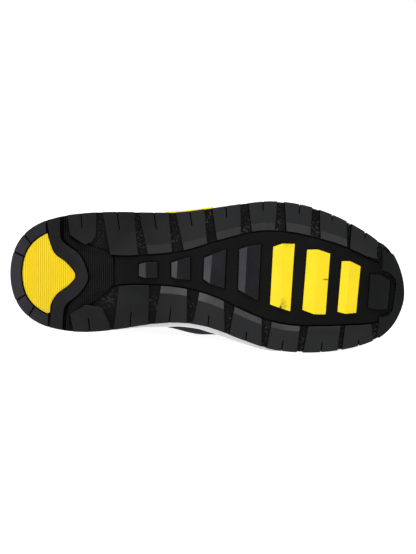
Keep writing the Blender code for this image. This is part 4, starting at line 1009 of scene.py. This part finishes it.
class Column:
    # one column of the upper at an angle round the sole, from the feather edge to the ridge
    def __init__(self, angle):
        angle = float(angle)
        self.along, side = float(alongAt(angle)), medial if angle > 0 else lateral
        x, y = outline(angle, midsoleInset(angle) + clearance)
        self.foot = np.array((x, y, footbedZ(x) + clearance), float)
        low, high = sections[0]["along"], sections[-1]["along"]
        at = softClip(self.along, low, high)
        across, height, self.full, self.rise, swell = [
            float(curve(sections, name, at))
            for name in ("across", "height", "full", "rise", sideNames[side])]
        self.ridge = np.array((*onSole(at, across), height), float)
        fade = float(ease(min(self.along / low, (1 - self.along) / (1 - high))))
        self.swell = upper["swell"][side] * swell * fade
        self.out = np.array((*np.subtract(outline(angle, -1.0), outline(angle)), 0.0))
        rim = float(rimZ(x)) + 2 * clearance
        self.rimShare = (rim - self.foot[2]) / (self.ridge[2] - self.foot[2])
        self.rimTurn = math.asin(self.rimShare ** (1 / self.rise))
        self.topTurn = self.findTop()

    def points(self, turns):
        turns = np.minimum(np.asarray(turns, float), math.pi / 2)
        inward = 1 - np.maximum(np.cos(turns), 0) ** self.full
        up = np.sin(turns) ** self.rise
        u = np.maximum(up - self.rimShare, 0) / (1 - self.rimShare)
        bulge = self.swell * u**2 * (1 - u) ** 3 / (0.4**2 * 0.6**3)
        reach = self.ridge - self.foot
        return self.foot + reach * np.stack([inward, inward, up], -1) + self.out * bulge[..., None]

    def turnAtGap(self, gap):
        share = gap / abs(self.foot[1] - self.ridge[1])
        return math.acos(min(share ** (1 / self.full), 1.0))

    def findTop(self):
        x = self.along * length
        if x >= throatFront - 1e-9:
            return math.pi / 2
        beside = x > throatFront - upper["throatReach"] * upper["throatLength"]
        throat = self.turnAtGap(throatGap(x)) if beside else math.pi
        if self.along > collarRows[-1]["along"]:
            return throat
        share = (float(collarZ(self.along)) - self.foot[2]) / (self.ridge[2] - self.foot[2])
        collar = math.asin(share ** (1 / self.rise)) if share < 1 else math.pi / 2 + 0.2
        blend = upper["collarBlend"]
        near = max(blend - abs(collar - throat), 0.0) / blend
        return min(collar, throat) - near * near * blend / 4

    def rowPoints(self, rows):
        # rows are shares of the way from the midsole's rim to the top edge
        return self.points(self.rimTurn + (self.topTurn - self.rimTurn) * np.asarray(rows))


def upperAngles(low, high, count):
    # one side's columns, close together round the front of the throat
    near = upper["throatFrontWidth"] / 2 * (1 - np.cos(np.linspace(0, math.pi / 2, 14)))
    near = angleAt((throatFront - near) / length)
    kept = [a for a in np.linspace(0, math.pi, count) if np.min(np.abs(near - a)) > 0.008]
    angles = np.array([*kept, *near])
    within = (alongAt(angles) > low + 1e-5) & (alongAt(angles) < high - 1e-5)
    return np.sort([*angles[within], float(angleAt(low)), float(angleAt(high))])


def bothSides(low, high, count):
    half = upperAngles(low, high, count)
    return [half, -half[::-1]] if low else [np.concatenate([-half[::-1], half[1:]])]


def creaseDepth(points):
    x, y, z = points.T
    depth = np.zeros(len(points))
    for row in creases:
        dx, dz = x - row["along"] * length, z - row["height"]
        cos, sin, width = math.cos(row["slope"]), math.sin(row["slope"]), row["width"]
        beside = dz * cos - dx * sin
        fade = np.exp(-((dx * cos + dz * sin) / row["half"]) ** 2) * (np.sign(y) == row["side"])
        relief = -np.exp(-(beside / width) ** 2)
        if row["side"] == lateral:
            # no ridge on the side that the shoe lies on
            relief += 0.55 * np.exp(-((beside - 1.7 * width) / width) ** 2)
        depth += row["depth"] * fade * relief
    return depth * ease(shareOf(x / length, 0.775, 0.735))


def weld(points, faces):
    keys = np.round(points * 1e6).astype(np.int64)
    _, first, inverse = np.unique(keys, axis=0, return_index=True, return_inverse=True)
    inverse = inverse.ravel().tolist()
    made = [tuple(dict.fromkeys(inverse[i] for i in face)) for face in faces]
    return points[first], [face for face in made if len(face) > 2], first


def vertexNormals(points, faces):
    normals = np.zeros_like(points)
    for face in faces:
        corners = points[list(face)]
        normals[list(face)] += np.cross(corners[2] - corners[0], corners[-1] - corners[1])
    return unit(normals)


def sheetOver(runs, rowsOf, feather=False):
    # welded, creased sheet over runs of columns: rowsOf gives each column's rows
    parts = []
    for angles in runs:
        cols = [Column(angle) for angle in angles]
        grid = np.array([np.concatenate([col.points([0.0] * feather), col.rowPoints(rowsOf(col))])
                         for col in cols])
        # both sides are measured from the heel's middle
        acrossLie = runAlong(grid[:, grid.shape[1] // 3])
        acrossLie = np.abs(acrossLie - np.interp(0.0, angles, acrossLie))
        upLie = np.array([runAlong(line) for line in grid])
        lie = np.stack([acrossLie[:, None] + upLie * 0, upLie, upLie * 0], -1)
        parts.append((grid.reshape(-1, 3), gridFaces(*grid.shape[:2]), lie.reshape(-1, 3)))
    points, faces, cloth = joined(parts)
    points, faces, first = weld(points, faces)
    normals = vertexNormals(points, faces)
    if np.sum(normals * (points - (length / 2, 0, sole["heelStack"]))) < 0:
        faces, normals = [f[::-1] for f in faces], -normals
    return points + normals * creaseDepth(points)[:, None], faces, normals, cloth[first]


def shell(points, faces, normals, thickness, cloth, arcSteps=5):
    # closed shell under a sheet, with its edges rounded
    count = len(points)
    thickness = np.broadcast_to(np.asarray(thickness, float), (count,))
    inner = points - normals * thickness[:, None]
    edges, outward = border(faces), {}
    for a, b in edges:
        way = unit(np.cross(points[b] - points[a], normals[a]))
        for i in (a, b):
            outward[i] = outward.get(i, 0) + way
    faces = faces + [tuple(i + count for i in f[::-1]) for f in faces]
    arcs, extra, lies = {}, [], []
    for i, way in outward.items():
        middle, half = (points[i] + inner[i]) / 2, (points[i] - inner[i]) / 2
        way = unit(way) * np.linalg.norm(half) * 0.9
        start = 2 * count + len(extra)
        for k in range(1, arcSteps):
            turn = math.pi * k / arcSteps
            extra.append(middle + half * math.cos(turn) + way * math.sin(turn))
            lies.append(cloth[i] + (0, 1.57 * thickness[i] * k / arcSteps, 0))
        arcs[i] = [i, *range(start, start + arcSteps - 1), i + count]
    faces += [(arcs[b][k], arcs[a][k], arcs[a][k + 1], arcs[b][k + 1])
              for a, b in edges for k in range(arcSteps)]
    return np.concatenate([points, inner, extra]), faces, np.concatenate([cloth, cloth, lies])


def paddingAt(points):
    along = points[:, 0] / length
    near = ease(1 - (collarZ(along) - points[:, 2]) / (0.42 * ankle))
    return wall + (upper["collarPadding"] - wall) * near * ease(shareOf(along, 0.37, 0.27))


def makeUpper():
    rows = 1 - (1 - np.linspace(0, 1, upper["rows"])) ** 1.4
    runs = bothSides(0.0, 1.0, upper["columns"])
    points, faces, normals, cloth = sheetOver(runs, lambda col: rows, True)
    made = shell(points, faces, normals, paddingAt(points), cloth)
    mesh = makePiece("upper_shell", made, "black mesh", ["upper"]).data
    # the lining's finish goes on the inner faces
    mesh.materials.append(finishes["black lining"].material)
    mesh.polygons.foreach_set("material_index", [k >= len(faces) for k in range(len(mesh.polygons))])


def edgeRow(col, over):
    # the row where a column climbs past an overlay's edge
    rows = np.linspace(0, 1, upper["edgeRows"])
    x, _, z = col.rowPoints(rows).T
    above = over(x, z)
    crossing = np.where((above[:-1] <= 0) & (above[1:] > 0))[0]
    if len(crossing) == 0:
        return float(above[-1] < 0)
    k = crossing[0]
    return float(rows[k] + (rows[k + 1] - rows[k]) * -above[k] / (above[k + 1] - above[k]))


def toeCapRow(col):
    # the cap's edge stands up, so it is read by how far forward each point lies
    return edgeRow(col, lambda x, z: curve(toeCapEdge, "along", z / toeBox, "height") * length - x)


def counterRow(col):
    return edgeRow(col, lambda x, z: z - curve(counterEdge, "height", x / length) * back)


def eyestayRow(col):
    return edgeRow(col, lambda x, z: z - curve(eyestayEdge, "height", x / length) * instep)


def closerColumns(angles, low, high, step=0.03, most=14):
    # more columns where an overlay's edge climbs fast
    cols = [Column(angle) for angle in angles]
    ends = np.array([(low(col), high(col)) for col in cols])
    jumps = np.abs(np.diff(ends, axis=0)).max(1)
    made = [angles[:1]]
    for start, end, jump in zip(angles, angles[1:], jumps):
        made.append(np.linspace(start, end, int(np.clip(math.ceil(jump / step), 1, most)) + 1)[1:])
    return np.concatenate(made)


def overlayPiece(name, node, finish, runs, low, high, count):
    def rowsOf(col):
        start = low(col)
        return np.linspace(start, max(high(col), start + 0.004), count)

    runs = [closerColumns(angles, low, high) for angles in runs]
    points, faces, normals, cloth = sheetOver(runs, rowsOf)
    outer = points + normals * (clearance + overlay)
    makePiece(name, shell(outer, faces, normals, overlay + 0.2 * mm, cloth, 4), finish, [node])


def foot(col):
    return 0.0


def top(col):
    return 1.0


def skinPoint(x, side, beside, offset):
    # point over the upper's own surface, a distance beside its ridge
    angle = float(angleAt(x / length, side))
    col, step = Column(angle), 1e-3
    turn = col.turnAtGap(max(beside, 1e-4))
    low, here, high = col.points([turn - step, turn, min(turn + step, math.pi / 2)])
    run = Column(angle + step).points([turn])[0] - Column(angle - step).points([turn])[0]
    normal = unit(np.cross(run, high - low))
    normal *= 1 if normal[2] >= 0 else -1
    return here + normal * offset, normal


makeUpper()
overlayPiece("toe_cap_film", "toe_cap", "black film", bothSides(0.782, 1.0, 220), foot, toeCapRow, 44)
overlayPiece("heel_counter_film", "heel_counter", "black film", bothSides(0.0, 0.290, 190), foot,
             counterRow, 34)
overlayPiece("eyestay_suede", "eyestay", "black suede", bothSides(0.376, 0.6862, 200), eyestayRow,
             top, 34)
print("upper made")


# Inside: insole and tongue

inside = {
    "insole": 0.0040, "insoleCup": 0.0022, "insoleDip": 0.0012, "cupWidth": 0.016,
    "tongueThickness": 0.0050, "tongueGap": 0.0010, "tongueTuck": 0.0100, "tongueOverlap": 0.0090,
    "tongueLength": 1.22, "tongueTip": 0.2, "tongueRound": 0.6, "channel": 0.0009, "steps": 44, "rows": 17,
}


def makeInsole():
    x, y = soleGrid(lambda angles: midsoleInset(angles) + 4 * clearance + wall, 41)
    s = np.linspace(0, 1, len(x))[:, None]
    low = footbedZ(x) + clearance
    rise = 1 - ease(np.minimum(s, 1 - s) * np.abs(y[-1] - y[0]) / inside["cupWidth"])
    cup = inside["insoleCup"] * rise * ease(shareOf(x / length, 0.75, 0.45))
    high = low + inside["insole"] - inside["insoleDip"] + cup
    made = block(np.stack([x, y, high], -1), np.stack([x, y, low], -1))
    makePiece("insole_lined", made, "insole cloth", ["insole"], 0.5 * mm)


def makeTongue():
    front = throatFront + inside["tongueTuck"]
    behind = throatFront - inside["tongueLength"] * upper["throatLength"]
    thickness, rows = inside["tongueThickness"], inside["rows"]
    grids = []
    for share in np.arange(inside["steps"] + 1) / inside["steps"]:
        x = front + (behind - front) * share
        tip = float(shareOf(share, 1 - inside["tongueTip"], 1.0))
        beside = max(throatGap(x), upper["throatFrontWidth"] / 3) + inside["tongueOverlap"]
        beside *= math.sqrt(1 - inside["tongueRound"] * tip**2)
        line = []
        for r in np.arange(-rows, rows + 1) / rows:
            # padding: full in the middle, thin at the bound edges, with two sewn channels
            edge = min(1 - abs(r), (1 - share) * 3, share * 4)
            full = math.sqrt(max(min(edge / 0.22, 1.0), 0.0))
            channel = inside["channel"] * math.exp(-((abs(r) - 0.45) / 0.05) ** 2)
            thick = thickness * (0.30 + 0.70 * full) - channel
            place, normal = skinPoint(x, lateral if r < 0 else medial, max(abs(r) * beside, 2e-4),
                                      -(wall + inside["tongueGap"]))
            line.append((place - normal * (thickness - thick) * 0.45,
                         place - normal * (thickness + thick) / 2))
        grids.append(line)
    made = block(*np.array(grids).transpose(2, 0, 1, 3))
    makePiece("tongue_padded", made, "tongue mesh", ["tongue"], 0.8 * mm, 3)


makeInsole()
makeTongue()
print("inside made")


# Laces, eyelets and stitches

lacing = {
    "width": 0.0055, "thickness": 0.0016, "lift": 0.0010, "eyelet": 0.0045, "inset": 0.0075,
    "pairs": 6, "first": 0.22, "last": 0.93, "hump": 0.7, "start": 1.1, "steps": 40, "round": 10,
    "ring": 20, "tube": 8, "endWidth": 0.0036, "endThickness": 0.0013, "dive": 0.0035,
    "diveRun": 0.0022,
}
stitch = {"long": 2.4 * mm, "gap": 0.7 * mm, "thick": 0.28 * mm}
eyeletPlaces = np.linspace(throatFront - upper["throatFrontWidth"] * lacing["first"],
                           throatFront - upper["throatLength"] * lacing["last"], lacing["pairs"])


def bandAlong(path, normals, width, thickness, corners=lacing["round"]):
    # flat woven band with round edges along a path
    path = np.array(path)
    forward = unit(np.gradient(path, axis=0))
    across = unit(np.cross(forward, unit(np.array(normals))))
    lift = unit(np.cross(across, forward))
    cos, sin = np.cos(around(corners)), np.sin(around(corners))
    wide = np.sign(cos) * np.abs(cos) ** 0.55 * width / 2
    tall = np.sign(sin) * np.abs(sin) ** 0.75 * thickness / 2
    rings = path[:, None] + across[:, None] * wide[:, None] + lift[:, None] * tall[:, None]
    run = np.tile(runAlong(path)[:, None], (1, corners))
    lie = np.stack([run, run * 0 + wide, run * 0], -1)
    return *tube(rings), lie.reshape(-1, 3)


def laceStrand(start, end, hump):
    # each end is (x, side, over): over the eyestay into its eyelet, or under the throat's edge
    inset, thickness = lacing["inset"], lacing["thickness"]
    onEyestay = clearance + overlay + lacing["lift"] * 0.6 + thickness / 2
    onTongue, under = lacing["lift"] - wall + thickness / 2, -(wall + thickness * 0.55)
    path = []
    for t in np.linspace(0, 1, lacing["steps"]):
        x = start[0] + (end[0] - start[0]) * t
        gap = throatGap(x)
        reach = [gap + inset * (1 if over else 0.6) for _, _, over in (start, end)]
        beside = reach[0] - (reach[0] + reach[1]) * t
        _, side, over = start if beside > 0 else end
        beside = abs(beside)
        if over:
            offset = onTongue + (onEyestay - onTongue) * ease((beside / gap - 0.15) / 0.65)
            # it dives into its eyelet
            run = lacing["diveRun"]
            offset -= lacing["dive"] * ease((beside - gap - inset + run) / run)
        else:
            offset = onTongue + (under - onTongue) * ease((beside / gap - 0.78) / 0.2)
        offset += hump * math.sin(math.pi * t) ** 2
        path.append(skinPoint(x, side, max(beside, 2e-4), float(offset)))
    return bandAlong(*zip(*path), lacing["width"], thickness)


def makeLaces():
    strands = [laceStrand((eyeletPlaces[0], lateral, True), (eyeletPlaces[0], medial, True), 0.0)]
    for k, (front, behind) in enumerate(zip(eyeletPlaces, eyeletPlaces[1:])):
        over = k > 0
        begin = front if over else front - lacing["start"] * lacing["width"]
        for side, hump in ((lateral, 0.0), (medial, lacing["hump"] * lacing["thickness"])):
            strands.append(laceStrand((begin, side, over), (behind, -side, False), hump))
    nodes = ["lace_bar"] + [f"lace_cross_{k}" for k in range(1, lacing["pairs"])]
    makePiece("laces_threaded", joined(strands), "black lace", nodes)


def makeEyelets():
    rings, holes, ends = [], [], []
    turns, tubeTurns = around(lacing["ring"])[:, None], around(lacing["tube"])
    for x in eyeletPlaces:
        for side in (lateral, medial):
            place, normal = skinPoint(x, side, throatGap(x) + lacing["inset"], clearance + overlay)
            away = unit(np.cross(normal, (1.0, 0.0, 0.0)))
            radial = away * np.cos(turns) + np.cross(away, normal) * np.sin(turns)
            rows = [place + radial * (lacing["eyelet"] / 2 + 0.6 * mm + 0.7 * mm * math.cos(turn))
                    + normal * 0.5 * mm * math.sin(turn) for turn in (*tubeTurns, tubeTurns[0])]
            rings.append((np.concatenate(rows), gridFaces(len(rows), len(turns), True)))
            # a near-black disc across each ring is painted shade for the hole
            hole = place + radial * (lacing["eyelet"] / 2 + 0.4 * mm) + normal * 0.08 * mm
            holes.append((hole, [tuple(range(len(turns)))]))
            if x == eyeletPlaces[-1]:
                # the lace's end stops in the top eyelet
                path = [place + normal * up * mm + away * side * out * mm
                        for up, out in ((-3.0, -0.6), (-1.0, -0.2), (0.6, 0.0), (1.6, 0.4))]
                ends.append(bandAlong(path, [away * side] * 4, lacing["endWidth"],
                                      lacing["endThickness"]))
    makePiece("eyelet_rings", joined(rings), "black eyelet")
    makePiece("eyelet_holes", joined(holes), "eyelet hole shade")
    makePiece("lace_ends", joined(ends), "black lace")


def stitchRun(points, normals):
    # short thread capsules laid end to end along a line
    run, parts = runAlong(points), []
    turn, thick = around(6)[:, None], stitch["thick"]
    for start in np.arange(stitch["gap"], run[-1] - stitch["long"], stitch["long"] + stitch["gap"]):
        at = start + stitch["long"] * np.array((0.0, 0.12, 0.5, 0.88, 1.0))
        middle, up = [np.stack([np.interp(at, run, line) for line in lines.T], -1)
                      for lines in (points, normals)]
        up = unit(up)
        across = np.cross(unit(np.gradient(middle, axis=0)), up)
        size = thick * np.array((0.25, 0.8, 1.0, 0.8, 0.25))[:, None, None]
        sunk = thick * np.array((-0.9, -0.1, 0.25, -0.1, -0.9))[:, None]
        rings = (middle + up * sunk)[:, None] + size * (
            across[:, None] * np.cos(turn) + up[:, None] * np.sin(turn))
        # one plain colour: a thread is too thin for its weave to show
        outer, faces = tube(rings)
        parts.append((outer, faces, outer * 0))
    return parts


def stitchesOver(runs, rowOf, lift):
    # stitches along a row that is worked out for each column
    parts, rowStep = [], 0.01
    for angles in runs:
        points, outs = [], []
        for angle in angles:
            col = Column(angle)
            row = rowOf(col)
            point, low, high = col.rowPoints([row, max(row - rowStep, 0.0), min(row + rowStep, 1.0)])
            normal = np.cross(Column(angle + 1e-3).rowPoints([row])[0] - point, high - low)
            inward = np.dot(normal, point - (point[0], 0, 0.03)) < 0
            points.append(point)
            outs.append(unit(-normal if inward else normal))
        points, outs = np.array(points), np.array(outs)
        parts += stitchRun(points + outs * (creaseDepth(points)[:, None] + lift), outs)
    return parts


def makeStitches():
    def mirrored(low, high):
        angles = upperAngles(low, high, 90)
        return [angles, -angles]

    parts, lift, collar = [], clearance + overlay, float(angleAt(0.36))
    for inset in (0.030, 0.060):
        parts += stitchesOver(bothSides(0.0, 0.286, 70),
                              lambda col: max(counterRow(col) - inset, 0.0), lift)
        parts += stitchesOver(mirrored(0.388, 0.684), lambda col: min(eyestayRow(col) + inset, 1.0), lift)
    parts += stitchesOver(mirrored(0.385, 0.618), lambda col: 0.965, lift)
    parts += stitchesOver([np.linspace(-collar, collar, 120)], lambda col: 0.955, 0.0)
    makePiece("seam_stitches", joined(parts), "black thread")


makeLaces()
makeEyelets()
makeStitches()
print("laces and stitches made")


# Floor, light and camera

studio = {
    "distance": 3.0, "focalPixels": 3953.0, "frameHeight": 554, "sensor": 36.0,
    "lookAlong": 0.15025, "lookAcross": 0.00276, "floorSize": 14.0, "floorGlow": 0.94,
    "skyLight": 0.3,
}
# name, place, aim, size, power and colour of each light
lights = (
    ("top light", (0.0, -0.2, 1.8), (0, 0, 0), 2.4, 32, (1, 1, 1)),
    ("heel side light", (-1.15, -1.20, 0.30), (0, 0, 0.06), 0.8, 8.0, (0.93, 0.89, 1.0)),
    ("upper front light", (-0.05, -0.85, 1.45), (0, 0, 0.06), 0.7, 9.0, (1, 1, 1)),
)


def makeStudio():
    half = studio["floorSize"] / 2
    mesh = bpy.data.meshes.new("floor")
    mesh.from_pydata([(-half, -half, 0), (half, -half, 0), (half, half, 0), (-half, half, 0)], [],
                     [(0, 1, 2, 3)])
    floor = placed("floor", mesh)
    paper = Finish("white paper", None, 0.9, Specular_IOR_Level=0.1, Base_Color=(0.4, 0.4, 0.4, 1),
                   Emission_Color=(1, 1, 1, 1), Emission_Strength=studio["floorGlow"])
    mesh.materials.append(paper.material)

    world = bpy.data.worlds.new("studio")
    bpy.context.scene.world = world
    world.use_nodes = True
    # white to look at, dimmer as a light
    nodes, links = world.node_tree.nodes, world.node_tree.links
    nodes["Background"].inputs["Color"].default_value = (1, 1, 1, 1)
    seen, level = nodes.new("ShaderNodeLightPath"), nodes.new("ShaderNodeMapRange")
    level.inputs["To Min"].default_value = studio["skyLight"]
    links.new(seen.outputs["Is Camera Ray"], level.inputs["Value"])
    links.new(level.outputs["Result"], nodes["Background"].inputs["Strength"])

    for name, place, aim, size, power, colour in lights:
        light = bpy.data.lights.new(name, "AREA")
        light.shape, light.size, light.energy, light.color = "SQUARE", size, power, colour
        lamp = placed(name, light)
        lamp.location = place
        lamp.rotation_euler = (Vector(aim) - Vector(place)).to_track_quat("-Z", "Y").to_euler()


def makeCamera():
    data = bpy.data.cameras.new("camera")
    data.sensor_width = studio["sensor"]
    data.lens = studio["focalPixels"] * studio["sensor"] / studio["frameHeight"]
    data.clip_start, data.clip_end = 0.05, 50
    camera = placed("camera", data)
    turn = rest.to_3x3()
    right, up, behind = (turn @ Vector(v) for v in ((1, 0, 0), (0, -1, 0), (0, 0, -1)))
    aim = rest @ Vector((studio["lookAlong"], studio["lookAcross"], 0))
    facing = Matrix((right, up, behind)).transposed().to_4x4()
    camera.matrix_world = Matrix.Translation(aim + behind * studio["distance"]) @ facing
    bpy.context.scene.camera = camera


makeStudio()
makeCamera()
bpy.context.scene.view_settings.view_transform = "Standard"
print("studio made")

bpy.context.view_layer.update()
